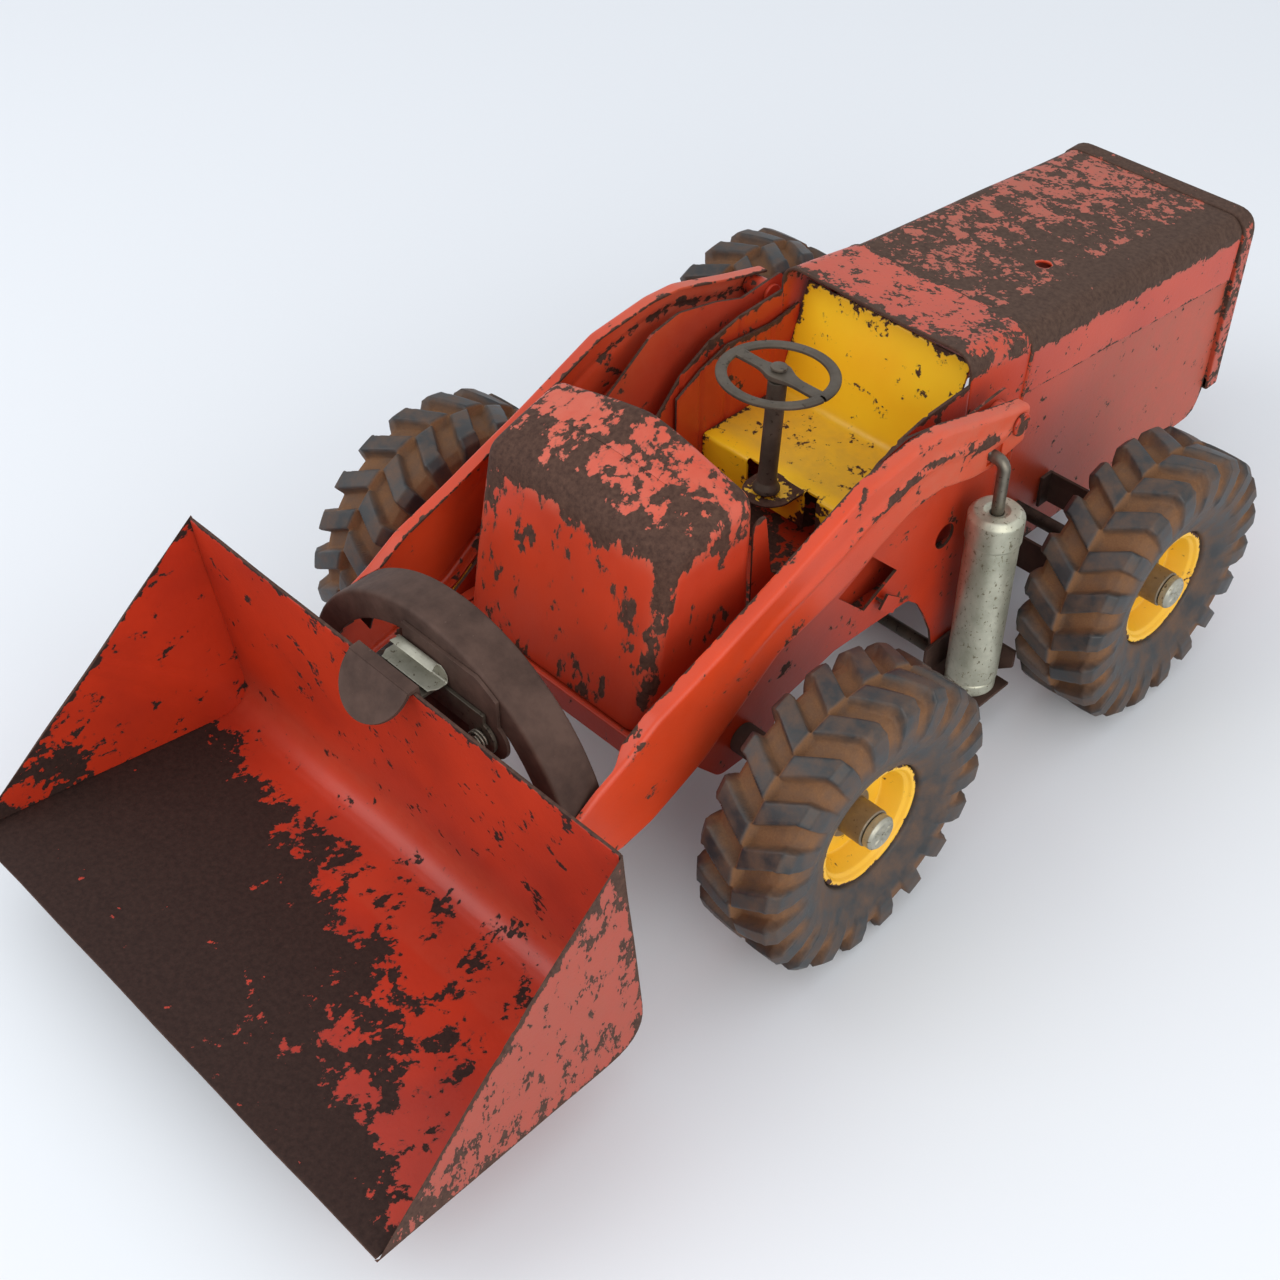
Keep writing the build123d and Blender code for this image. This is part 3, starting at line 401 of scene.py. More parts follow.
axle_caps = mesh_object("axle_caps_pressed", caps, (True, False), [0, WHEELBASE / 2, AXLE_Z])
fit(mended(axle_caps, 0.03), "chassis", ["axle_caps"], [plated])


# ---------------------------------------------------------------- chassis plates, floor, platform and axles
# Red-enamelled sheet, one millimetre thick: two long side plates with a pierced window, the cockpit floor and
# the tray in front, on plain steel axles. The cut edges have lost their paint.

def rounded(piece, rounding, sharper_than, harden):
    """Rounds the edges that turn by more than an angle in radians, over rounding mm."""
    bevel = piece.modifiers.new("rounded_edges", "BEVEL")
    bevel.width = rounding * MM
    bevel.segments = 2
    bevel.limit_method = "ANGLE"
    bevel.angle_limit = sharper_than
    bevel.harden_normals = harden
    return piece


def dressed_copy(node, name, body, materials, rounding=0.25, wear=0.1, fade=0.2, thin=0.0):
    """The CAD solid's own faces with doubled points merged and sharp edges rounded.

    wear and fade may be numbers or functions of the points in mm from the front axle. A face whose area over
    half its outline is under thin is a cut edge, and takes the second material.
    """
    work = bmesh.new()
    work.from_mesh(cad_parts[node].data)
    bmesh.ops.remove_doubles(work, verts=work.verts, dist=0.000002)
    bmesh.ops.dissolve_limit(work, angle_limit=0.02, verts=work.verts, edges=work.edges)
    for face in work.faces:
        face.smooth = True
        outline = sum(e.calc_length() for e in face.edges) / 2
        face.material_index = 1 if face.calc_area() / outline < thin * MM else 0
    for edge in work.edges:
        edge.smooth = len(edge.link_faces) == 2 and edge.calc_face_angle(0) < 0.5
    mesh = bpy.data.meshes.new(name)
    work.to_mesh(mesh)
    work.free()
    for layer in [a.name for a in mesh.attributes if a.name == "custom_normal"]:
        mesh.attributes.remove(mesh.attributes[layer])
    points = np.zeros(len(mesh.vertices) * 3)
    mesh.vertices.foreach_get("co", points)
    points = (points.reshape(-1, 3) - [0, AXLE_FRONT_Y, 0]) / MM
    for key, value in (("wear", wear), ("fade", fade)):
        layer = mesh.attributes.new(key, "FLOAT", "POINT")
        values = value(points) if callable(value) else value
        layer.data.foreach_set("value", np.broadcast_to(values, len(points)).astype(np.float32))
    return fit(rounded(in_scene(name, mesh), rounding, 0.6, True), body, [node], materials)


# red stove enamel: a warm orange red, faded pinkish where it has been rubbed and left in the sun
red = worn_enamel("red_stove_enamel", "#BE3616", "#A42B15", "#BE5A44")
red_edge = worn_enamel("red_enamel_cut_edge", "#A83018", "#8A281A", "#A85442", more_wear=0.62)
brown = old_metal("bare_steel_gone_brown", "#40302A", "#56423A", "#66524A", 0.0, 0.62, spots=0.7)
iron = old_metal("oily_dark_steel", "#39342E", "#5D554A", "#2A241F", 0.55, 0.45)

for side, sign in SIDES:
    dressed_copy(f"side_plate_{side}", f"side_plate_{side}_pressed", "chassis", [red, red_edge],
                 0.2, 0.16, lambda p: 0.35 * smooth_step(60, 100, p[:, 2]), 1.3)
dressed_copy("cockpit_floor", "cockpit_floor_sheet", "chassis", [red, red_edge], 0.2, 0.5, 0.1, 1.3)
dressed_copy("front_platform", "front_platform_tray", "chassis", [red, red_edge], 0.45, 0.28, 0.1, 0.8)
dressed_copy("boom_pins", "boom_pins_riveted", "chassis", [red, red_edge], 0.3, 0.4, 0.2)
for node, material in (("leg_rod", iron), ("axle_front", iron), ("axle_rear", iron), ("front_spacers", brown),
                       ("rear_axle_straps", brown)):
    slot = "steel_rod" if node.startswith("axle") else "brown_steel"
    dressed_copy(node, node + "_steel", "chassis", [material], 0.25)


# ---------------------------------------------------------------- box in front of the driver
# One deep-drawn box of red enamel with soft corners, leaning back and lower at the front. Its top and its
# front upright corner are rubbed bare, and long chips run down its face.

def walled(piece, wall, rim=None, rounding=0.22):
    """Gives a surface a sheet's thickness inwards, with rounded rims that may take the second material.

    Points that fall together, as where two edges of a grid meet, are made one first.
    """
    joined = bmesh.new()
    joined.from_mesh(piece.data)
    bmesh.ops.remove_doubles(joined, verts=joined.verts, dist=0.03 * MM)
    bmesh.ops.dissolve_degenerate(joined, edges=joined.edges, dist=0.01 * MM)
    joined.to_mesh(piece.data)
    joined.free()
    solid = piece.modifiers.new("sheet", "SOLIDIFY")
    solid.thickness = wall * MM
    solid.offset = -1
    solid.use_even_offset = True
    solid.thickness_clamp = 1.0
    if rim is not None:
        solid.material_offset_rim = rim
    return rounded(piece, rounding, 1.0, False)


# without a seed this noise starts from the clock, and the dents would change with every run
noise.seed_set(1)


def dented(grid, depth, size, seed=0.0):
    """Moves points by smooth noise along y and z (and a little along x), as knocks do: depth times the noise."""
    flat = grid.reshape(-1, 3)
    push = np.array([noise.noise_vector(Vector(p) / size + Vector((seed, seed, seed))) for p in flat])
    return (flat + push * depth).reshape(grid.shape)


BOX_HALF, BOX_NARROWER, BOX_REAR, BOX_FOOT, BOX_ROUND = 39.8, 2.8, 9.8, 64.6, 5.0
BOX_FRONT = (-34.0, -21.6)          # at the foot and at the top
BOX_TOP = (122.0, 129.0)            # at the front and at the rear corners
BOX_PEAK = 9.8                      # how much higher the middle of the rear edge is
BOX_CORNERS = ((1, 1), (-1, 1), (-1, -1), (1, -1))


def box_grid():
    """Rounded rectangles stacked up the walls, then drawn in over a quarter round, then across the top.

    The rectangle is then narrowed to the front, its front leaned back, and its top tipped to the lower of two
    slopes: one rising from the front edge to the peak, one falling from the middle to the sides.
    """
    half, depth, tall = BOX_HALF, 18.7, 62.0
    rows = [(0.0, z) for z in np.linspace(0, tall - BOX_ROUND, 40)]
    turn = np.linspace(0, np.pi / 2, 9)[1:]
    rows += [(BOX_ROUND * (1 - np.cos(a)), tall - BOX_ROUND + BOX_ROUND * np.sin(a)) for a in turn]
    rows += [(inset, tall) for inset in np.linspace(BOX_ROUND, depth - 0.05, 9)[1:]]
    grid = []
    for inset, z in rows:
        round_by = max(BOX_ROUND - inset, 0.02)
        a, b = half - inset, depth - inset
        corner = np.linspace(0, np.pi / 2, 9)
        ring = []
        for start, (cx, cy) in enumerate(BOX_CORNERS):
            t = corner + start * np.pi / 2
            ring.append(np.stack([cx * (a - round_by) + round_by * np.cos(t),
                                  cy * (b - round_by) + round_by * np.sin(t)], -1))
            nxt = BOX_CORNERS[(start + 1) % 4]
            t1 = (start + 1) * np.pi / 2
            p0 = ring[-1][-1]
            p1 = np.array([nxt[0] * (a - round_by) + round_by * np.cos(t1),
                           nxt[1] * (b - round_by) + round_by * np.sin(t1)])
            count = 34 if start % 2 == 0 else 16
            ring.append(p0 + (p1 - p0) * np.linspace(0, 1, count + 2)[1:-1, None])
        ring = np.vstack(ring)
        grid.append(np.hstack([ring, np.full((len(ring), 1), z)]))
    grid = np.array(grid)
    up = grid[..., 2] / tall
    back = (grid[..., 1] / depth + 1) / 2
    front = BOX_FRONT[0] + (BOX_FRONT[1] - BOX_FRONT[0]) * up
    y = front + (BOX_REAR - front) * back
    x = grid[..., 0] * (1 - BOX_NARROWER / BOX_HALF * (BOX_REAR - y) / (BOX_REAR - BOX_FRONT[0]))
    rise = BOX_TOP[1] - BOX_TOP[0]
    rearward, sideward = (rise + BOX_PEAK) * back, rise * back + BOX_PEAK * (1 - np.abs(x) / BOX_HALF)
    top = BOX_TOP[0] - 1.1 * np.logaddexp(-rearward / 1.1, -sideward / 1.1)
    z = BOX_FOOT + up * (top - BOX_FOOT)
    return np.stack([x, y, z], -1)


box_points = box_grid()
x, y, z = np.moveaxis(box_points, -1, 0)
near_top = smooth_step(112, 120, z)
to_side = BOX_HALF - 2 - np.abs(x)
to_front = y - (BOX_FRONT[0] + (BOX_FRONT[1] - BOX_FRONT[0]) * (z - BOX_FOOT) / 60)
upright = np.exp(-((to_side - 2.0) / 3.0) ** 2) * (to_front < 5) * smooth_step(62, 80, z)
front_edge = np.exp(-((z - 121) / 5.5) ** 2) * np.exp(-((to_front - 3) / 7.0) ** 2)
middle = np.exp(-((x + 4) / 9.0) ** 2) * near_top
box_wear = (0.25 + 0.17 * near_top + 0.42 * front_edge + 0.20 * middle + 0.40 * upright * (x > 0) + 0.16 * upright
            + 0.22 * np.exp(-((to_side - 1) / 3.0) ** 2) * near_top)
# sun fade on the top and the upright corner; the extra 0.25 on the top beyond x = -6 is painted light, paler where
# that slope of the top faces the window light
box_fade_and_painted_light = 0.50 * near_top + 0.12 + 0.3 * upright + 0.25 * near_top * (x < -6)
drawn_red = worn_enamel("red_enamel_long_chips", "#C4391B", "#AC3019", "#C65C46", chip_mm=11.0,
                        stretch=(1.0, 1.0, 0.55), seed=0.31)
front_box = walled(mesh_object("front_box_drawn", dented(box_points, 0.35, 22.0), (False, True), [0, -10, 95],
                               wear=box_wear, fade=box_fade_and_painted_light), 1.0)
fit(front_box, "chassis", ["front_box"], [drawn_red])


# ---------------------------------------------------------------- cockpit sides and seat cheeks
# Low side sheets with a wavy upper edge, and inside them the two cheeks that hold the seat, in red enamel.

def upright_sheet(name, node, top, foot, x_outer, sign, material, wear, fade, wall=1.0):
    """A flat sheet ruled from its upper edge down to its foot line; both run over the same y places."""
    upper = rounded_line(top, 2.2, 1.0)
    lower = np.interp(upper[:, 0], *np.array(foot).T)
    v = np.linspace(0, 1, 26)[None, :]
    z = upper[:, 1][:, None] * (1 - v) + lower[:, None] * v
    piece = mesh_object(name, grid_of(sign * x_outer, upper[:, :1], z), (False, False), [0, 60, 80],
                        wear=wear + 0.5 * np.exp(-(upper[:, 1:] - z) / 1.2), fade=fade)
    return fit(walled(piece, wall, 1), "chassis", [node], material)


COCKPIT_TOP = [(10.1, 115.5), (11.6, 117.8), (15.0, 117.8), (18.5, 95), (30, 88), (47, 93), (59, 105), (72, 112),
               (86, 115), (105.9, 116)]
CHEEK_TOP = [(55, 99), (66, 105), (78, 109), (99, 107.5), (112, 109.6)]
for side, sign in SIDES:
    upright_sheet(f"cockpit_side_{side}_sheet", f"cockpit_side_{side}", COCKPIT_TOP,
                  [(10.1, 58.1), (105.9, 58.1)], 38.6, sign, [red, red_edge], 0.22, 0.15)
    upright_sheet(f"seat_cheek_{side}_sheet", f"seat_cheek_{side}", CHEEK_TOP, [(55, 58.1), (114, 58.1)], 36.4, sign,
                  [red, red_edge], 0.2, 0.1)


# ---------------------------------------------------------------- seat
# One strip of yellow enamel folded into front, pan and back, with a round tongue pierced for the steering post.
# It is chipped at its edges and scuffed dark where a figure was pushed in.

SEAT_HALF, SEAT_SHORT, SEAT_Z = 35.3, 31.3, 80.0
SEAT_LINE = [(67, 66), (67, 80), (103, 80), (115.5, 116.5)]
seat_side = rounded_line(SEAT_LINE, [0, 1.6, 3.0, 0], 1.0)
seat_run = np.concatenate([[0], np.cumsum(np.linalg.norm(np.diff(seat_side, axis=0), axis=1))])
cuts = [(-15.5, -10.0, 5.0, 15.3), (8.8, 14.0, -1.0, 15.3)]
across = np.unique(np.concatenate([np.linspace(-SEAT_HALF, -15.5, 17), np.linspace(-15.5, -10, 5),
                                   np.linspace(-10, 8.8, 15), np.linspace(8.8, 14, 5),
                                   np.linspace(14, SEAT_SHORT, 14)]).round(4))
seat_grid = grid_of(across, seat_side[:, :1], seat_side[:, 1:])
run = np.broadcast_to(seat_run[:, None], seat_grid.shape[:2])
x = seat_grid[..., 0]
edge_off = np.minimum(np.minimum(x + SEAT_HALF, SEAT_SHORT - x), np.minimum(run, seat_run[-1] - run))
pan = smooth_step(16, 22, run) * (1 - smooth_step(44, 54, run))
seat_wear = (0.14 + 0.36 * np.exp(-edge_off / 2.2) + 0.06 * pan + 0.10 * np.exp(-((run - 14) / 2.0) ** 2)
             + 0.30 * smooth_step(2, 10, x) * (run < 13))
seat_fade = 0.02 + 0.55 * pan
# the seat's yellow is brighter than the hubs' yellow enamel: the extra brightness is painted light, standing in for
# the strong light on the seat back
yellow_seat_brightened = worn_enamel("yellow_enamel_scuffed_brightened", "#FFD022", "#FCBE1A", "#D2A440", chip_mm=6.5, seed=0.13)
seat = mesh_object("seat_folded", dented(seat_grid, 0.2, 15.0, 3.0), (False, False), [0, 110, 60],
                   wear=seat_wear, fade=seat_fade)
trim = bmesh.new()
trim.from_mesh(seat.data)
gone = []
for face in trim.faces:
    middle = face.calc_center_median() / MM
    row = face.index // (len(across) - 1)
    along = (seat_run[row] + seat_run[row + 1]) / 2
    if any(x0 < middle.x < x1 and s0 < along < s1 for x0, x1, s0, s1 in cuts):
        gone.append(face)
bmesh.ops.delete(trim, geom=gone, context="FACES")
trim.to_mesh(seat.data)
trim.free()
fit(walled(seat, 1.0), "chassis", ["seat"], [yellow_seat_brightened])

POST_FOOT, POST_TOP = np.array([0, 59.0, 81.2]), np.array([0, 61.8, 123.0])
angle = np.linspace(0, 2 * np.pi, 65)[:-1]
tongue_rim = np.stack([8.5 * np.sin(angle), 60.5 + 8.5 * np.cos(angle)], -1)
tongue_rim[:, 1] = np.where(np.cos(angle) > 0, 60.5 + 8.5 * np.minimum(1, 1.6 * np.cos(angle)), tongue_rim[:, 1])
tongue_rim[:, 0] = np.where(np.cos(angle) > 0, 8.5 * np.clip(1.6 * np.sin(angle), -1, 1), tongue_rim[:, 0])
rings = np.linspace(0.23, 1.0, 10)[:, None, None]
tongue_middle = np.array([0, 59.0])
tongue_flat = tongue_middle + (tongue_rim - tongue_middle)[None] * rings
tongue = mesh_object("seat_tongue", grid_of(tongue_flat[..., 0], tongue_flat[..., 1], SEAT_Z), (False, True),
                     [0, 60, 60], wear=0.35 + 0.5 * rings[:, :, 0] ** 3, fade=0.4)
fit(walled(tongue, 1.0), "chassis", [], [yellow_seat_brightened])


# ---------------------------------------------------------------- steering
# A round steel post with a spread foot, and a flat stamped wheel with one crossbar, both bare and grey brown.

post_axis = (POST_TOP - POST_FOOT) / np.linalg.norm(POST_TOP - POST_FOOT)
post_length = np.linalg.norm(POST_TOP - POST_FOOT)


def leaned(grid):
    """Points about an upright z axis moved onto the leaning post: y and z turn together, then shift to its foot."""
    y = grid[..., 1] * post_axis[2] + grid[..., 2] * post_axis[1]
    z = -grid[..., 1] * post_axis[1] + grid[..., 2] * post_axis[2]
    return np.stack([grid[..., 0], y, z], -1) + POST_FOOT


def upright(profile, count=64):
    """A profile of (radius, height) points carried round the z axis."""
    angle = np.linspace(0, 2 * np.pi, count, endpoint=False)[:, None]
    radius, height = profile[:, 0][None, :], profile[:, 1][None, :]
    return grid_of(radius * np.cos(angle), radius * np.sin(angle), height)


stamped = old_metal("stamped_steel_tarnished", "#4A433B", "#5F574D", "#3A322B", 0.3, 0.5, 2.4)
post_line = rounded_line([(0.05, 0), (4.5, 0), (4.3, 1.4), (3.2, 3.4), (3.0, 8), (3.0, post_length - 2.1),
                          (1.45, post_length - 2.0), (1.45, post_length + 1.9), (2.7, post_length + 1.9),
                          (2.6, post_length + 2.9), (0.05, post_length + 3.2)], 0.4, 0.9)
post = mesh_object("steering_post_round", leaned(upright(post_line)), (True, False), list(POST_FOOT + [0, 1, 20]))
fit(post, "chassis", ["steering_post"], [stamped])

WHEEL_R, WHEEL_RIM = 19.0, 3.6
rim_line = rounded_line([(WHEEL_R - WHEEL_RIM, -0.8), (WHEEL_R, -0.8), (WHEEL_R, 0.3), (WHEEL_R - 0.9, 0.8),
                         (WHEEL_R - WHEEL_RIM + 0.9, 0.8), (WHEEL_R - WHEEL_RIM, 0.3)], 0.5, 0.4, closed=True)
ring = upright(rim_line, 128) + [0, 0, post_length]
bar_x = np.linspace(-(WHEEL_R - 2), WHEEL_R - 2, 49)
bar_half = 2.0 + 2.3 * np.exp(-(bar_x / 4.2) ** 2) + 0.4 * (np.abs(bar_x) / WHEEL_R) ** 2
section = rounded_line([(-1, -0.7), (1, -0.7), (1, 0.5), (0.7, 0.75), (-0.7, 0.75), (-1, 0.5)], 0.25, 0.3,
                       closed=True)
crown = 0.75 * np.exp(-(bar_x / 4.0) ** 2)
bar = grid_of(bar_x[:, None], bar_half[:, None] * section[:, 0],
              section[:, 1] + crown[:, None] * (section[:, 1] > 0) + post_length)
wheel = mesh_object("steering_wheel_stamped", [leaned(ring), leaned(bar)], (False, True), None)
fit(mended(wheel, 0.01), "steering", ["steering_wheel"], [stamped])


# ---------------------------------------------------------------- hood
# Two bent red covers, the front one ending in a raised bead over the rear one, with flat side sheets below and
# a deep frame at the rear. The top is worn to brown steel with islands of faded pink, and has one bolt hole.

HOOD_HALF, HOOD_ROUND = 38.6, 7.0
STEP_Y, STEP_Z, HOOD_REAR = 138.5, 120.6, 262.0
FALL = np.radians(5.25)


def hood_section(depth, out=0.0):
    """An upside-down U: up the right wall, round a corner, over the flat top, and down the left wall."""
    half, turn = HOOD_HALF + out, np.linspace(0, np.pi / 2, 10)
    wall = np.linspace(-depth, -HOOD_ROUND, 22)[:-1]
    top = np.linspace(-half + HOOD_ROUND + out, half - HOOD_ROUND - out, 58)[1:-1]
    r = HOOD_ROUND + out
    right = np.stack([np.full(21, -half), wall], -1)
    corner = np.stack([-half + r - r * np.cos(turn), out - r + r * np.sin(turn)], -1)
    flat = np.stack([top, np.full(56, out)], -1)
    return np.vstack([right, corner, flat, corner[::-1] * [-1, 1], right[::-1] * [-1, 1]])


def along_hood(section, run):
    """A section point (x, height) at a distance down the sloping hood: y and z turn by the fall of the top."""
    y = STEP_Y + run[:, None] * np.cos(FALL) + section[None, :, 1] * np.sin(FALL)
    z = STEP_Z - run[:, None] * np.sin(FALL) + section[None, :, 1] * np.cos(FALL)
    return grid_of(section[:, 0], y, z)


def hood_values(section):
    """wear and fade over a hood cover: bare on the top's left band, patchy elsewhere on top, sound on the walls."""
    x, down = section[:, 0], -section[:, 1]
    on_top = smooth_step(9.5, 5.0, down)
    band = smooth_step(HOOD_HALF - 19, HOOD_HALF - 11, x) + 0.6 * smooth_step(HOOD_HALF - 6, HOOD_HALF, -x)
    wear = on_top * (0.52 + 0.42 * np.clip(band, 0, 1)) + (1 - on_top) * 0.15
    fade = on_top * 0.9 + (1 - on_top) * 0.14
    return wear, fade


COVER_LONG = (HOOD_REAR - STEP_Y) / np.cos(FALL)
HOLE = (13.2, 38.5, 2.75)
cover_run = np.linspace(0.6, COVER_LONG, 126)
cover_section = hood_section(23.0)
cover_points = along_hood(cover_section, cover_run)
wear, fade = hood_values(cover_section)
middle = np.exp(-((cover_run[:, None] - 60) / 34) ** 2) * np.exp(-((cover_section[None, :, 0] - 8) / 13) ** 2)
far_rear = smooth_step(60, 100, cover_run)[:, None] * smooth_step(12, -12, cover_section[None, :, 0])
on_top = smooth_step(9.5, 5.0, -cover_section[:, 1])[None, :]
lower_edge = np.exp((cover_section[None, :, 1].min() - cover_section[None, :, 1]) / 0.7)
cover_wear = (wear[None, :] + on_top * (0.22 * middle - 0.05 * far_rear) + 0.12 * np.exp(-cover_run / 6)[:, None]
              + 0.45 * lower_edge)
hood_enamel = worn_enamel("red_enamel_sun_faded", "#C43C16", "#B43315", "#A6523E", chip_mm=6.0, seed=0.57,
                          bare_dark="#3E2D26", bare_light="#5A453A")
cover = mesh_object("hood_cover_bent", dented(cover_points, 0.3, 30.0, 7.0), (False, False), [0, 200, 60],
                    wear=cover_wear, fade=fade)
walled(cover, 1.0)
hole_ring = upright(np.array([[0.01, -4.0], [HOLE[2], -4.0], [HOLE[2], 4.0], [0.01, 4.0]]), 40)
hole_y = STEP_Y + HOLE[1] * np.cos(FALL)
hole_z = STEP_Z - HOLE[1] * np.sin(FALL)
cutter = mesh_object("hole_cutter", hole_ring + [HOLE[0], hole_y, hole_z], (True, False), [HOLE[0], hole_y, hole_z])


def cut_out(piece, cutters):
    """Cuts the closed cutters out of a piece after its other modifiers, keeps the result, and removes them."""
    for cutter in cutters:
        boolean = piece.modifiers.new("cut", "BOOLEAN")
        boolean.operation = "DIFFERENCE"
        boolean.solver = "EXACT"
        boolean.object = cutter
    ready = piece.evaluated_get(bpy.context.evaluated_depsgraph_get())
    mesh = bpy.data.meshes.new_from_object(ready)
    piece.modifiers.clear()
    piece.data = mesh
    for cutter in cutters:
        bpy.data.objects.remove(cutter)
    return piece


mended(cutter, 0.02, capped=True)
bpy.context.view_layer.update()
cut_out(cover, [cutter])
fit(cover, "chassis", ["hood_cover"], [hood_enamel])

FRONT_Y, FRONT_Z = 106.0, 126.0
front_fall = np.arctan2(FRONT_Z - STEP_Z - 0.6, STEP_Y - FRONT_Y)
front_section = hood_section(52.0)
share = np.linspace(0, 1, 34)
drop = front_section[None, :, 1]
end_y = STEP_Y - 0.1 + drop * np.sin(FALL)
y = FRONT_Y + (end_y - FRONT_Y) * share[:, None]
z = FRONT_Z - (y - FRONT_Y) * np.tan(front_fall) + drop
front_points = grid_of(front_section[:, 0], y, z)
wear, fade = hood_values(front_section)
lip = np.exp(-share / 0.09)[:, None]
seam = np.exp(-(1 - share) / 0.06)[:, None]
on_top = smooth_step(9.5, 5.0, -front_section[:, 1])[None, :]
front_wear = wear[None, :] * (1 - 0.42 * on_top) + 0.42 * lip * (0.3 + 0.7 * on_top) + 0.3 * seam * on_top
front_fade = fade * (0.2 + 0.22 * on_top[0])
hood_front = mesh_object("hood_front_bent", dented(front_points, 0.3, 26.0, 11.0), (False, False), [0, 125, 60],
                         wear=front_wear, fade=front_fade)
fit(walled(hood_front, 1.0, 1), "chassis", ["hood_front"], [hood_enamel, red_edge])

bead_section = hood_section(54.0)
bead_turn = np.linspace(0, np.pi, 9)
bead_out = hood_section(54.0, 0.7)
bead_rows = [along_hood(bead_section + (bead_out - bead_section) * np.sin(a),
                        np.array([-1.4 + 0.9 * (1 - np.cos(a))])) for a in bead_turn]
bead = mesh_object("hood_bead", np.concatenate(bead_rows), (False, False), [0, 138, 60],
                   wear=0.3 + 0.4 * smooth_step(12, 6, -bead_section[:, 1]), fade=0.3)
fit(walled(bead, 0.9), "chassis", [], [hood_enamel])

PANEL_FRONT, PANEL_X = 115.5, 37.35          # where the flat side sheets start, and their outer faces
for side, sign in SIDES:
    rows = np.linspace(PANEL_FRONT, HOOD_REAR, 90)
    top = np.interp(rows, [PANEL_FRONT, STEP_Y, HOOD_REAR], [104, 104, 93])
    foot = np.interp(rows, [PANEL_FRONT, 122, 126, 255, 259.5, HOOD_REAR], [36, 29.5, 28, 28, 30, 38])
    v = np.linspace(0, 1, 44)[None, :]
    z = top[:, None] * (1 - v) + foot[:, None] * v
    grid = grid_of(sign * PANEL_X, rows[:, None], z)
    y = grid[..., 1]
    edge_off = np.minimum(z - foot[:, None], np.minimum(HOOD_REAR - y, y - PANEL_FRONT))
    sheet = mesh_object(f"hood_side_{side}_sheet", dented(grid, 0.22, 30.0, 5.0 * sign), (False, False),
                        [0, 190, 60], wear=0.13 + 0.4 * np.exp(-edge_off / 2.0),
                        fade=0.22 + 0.5 * smooth_step(140, 200, y))
    fit(walled(sheet, 0.95, 1), "chassis", [f"hood_side_{side}"], [hood_enamel, red_edge])

rim_top = STEP_Z - (HOOD_REAR - STEP_Y) * np.tan(FALL) + 0.6
frame_line = rounded_line([(-39.3, 38), (-39.3, rim_top), (39.3, rim_top), (39.3, 38)], [1.0, 8.5, 8.5, 1.0],
                          2.2, True)
ahead = np.roll(frame_line, -1, axis=0) - np.roll(frame_line, 1, axis=0)
inward = np.stack([ahead[:, 1], -ahead[:, 0]], -1) / np.linalg.norm(ahead, axis=1)[:, None]
rim_section = rounded_line([(0, 0), (0, 7.9), (4.9, 7.9), (4.9, 0)], [0.6, 2.4, 1.2, 0.3], 0.9, True)
rim_grid = grid_of(frame_line[:, None, 0] + inward[:, None, 0] * rim_section[:, 0], 262.1 + rim_section[:, 1],
                   frame_line[:, None, 1] + inward[:, None, 1] * rim_section[:, 0])
rim_wear = 0.34 + 0.3 * smooth_step(100, 108, rim_grid[..., 2]) + 0.15 * np.exp(-rim_section[None, :, 0] / 1.5)
rear_rim = mesh_object("hood_rear_rim_frame", rim_grid, (True, True), None, wear=rim_wear, fade=0.55)
fit(mended(rear_rim), "chassis", ["hood_rear_rim"], [hood_enamel])
dressed_copy("hood_grille", "hood_grille_slotted", "chassis", [hood_enamel, red_edge], 0.15, 0.25, 0.3)


# ---------------------------------------------------------------- lift arms and arch
# Each arm is a shallow red channel with a raised ridge along its web; an arch of bare brown steel, a channel
# with its flanges turned in, joins them above the bucket.

ARM_X, ARM_SHEET, ARM_DEEP = 56.0, 1.2, 5.0
HINGE = (-74.0, 62.0)
NOSE_R = 10.4
ARM_TOP = [(113, 114.6), (95.3, 119.1), (71.9, 125.6), (60.2, 126.1), (37.2, 123.2), (3.2, 108.5), (-20.7, 99.3),
           (-43.8, 91), (-55.3, 84.1), (-66, 79.3)]
ARM_LOW = [(112, 101), (98, 98.4), (88.2, 99.6), (72.6, 104.2), (58.2, 103.1), (46.1, 98.1), (31.5, 91.3),
           (23.5, 89), (4, 83.5), (-25.6, 62.2), (-46, 53), (-57, 50.6)]


def even(line, count):
    """The line's points at equal shares of its length."""
    run = np.concatenate([[0], np.cumsum(np.linalg.norm(np.diff(line, axis=0), axis=1))])
    at = np.linspace(0, run[-1], count)
    return np.stack([np.interp(at, run, line[:, i]) for i in (0, 1)], -1)


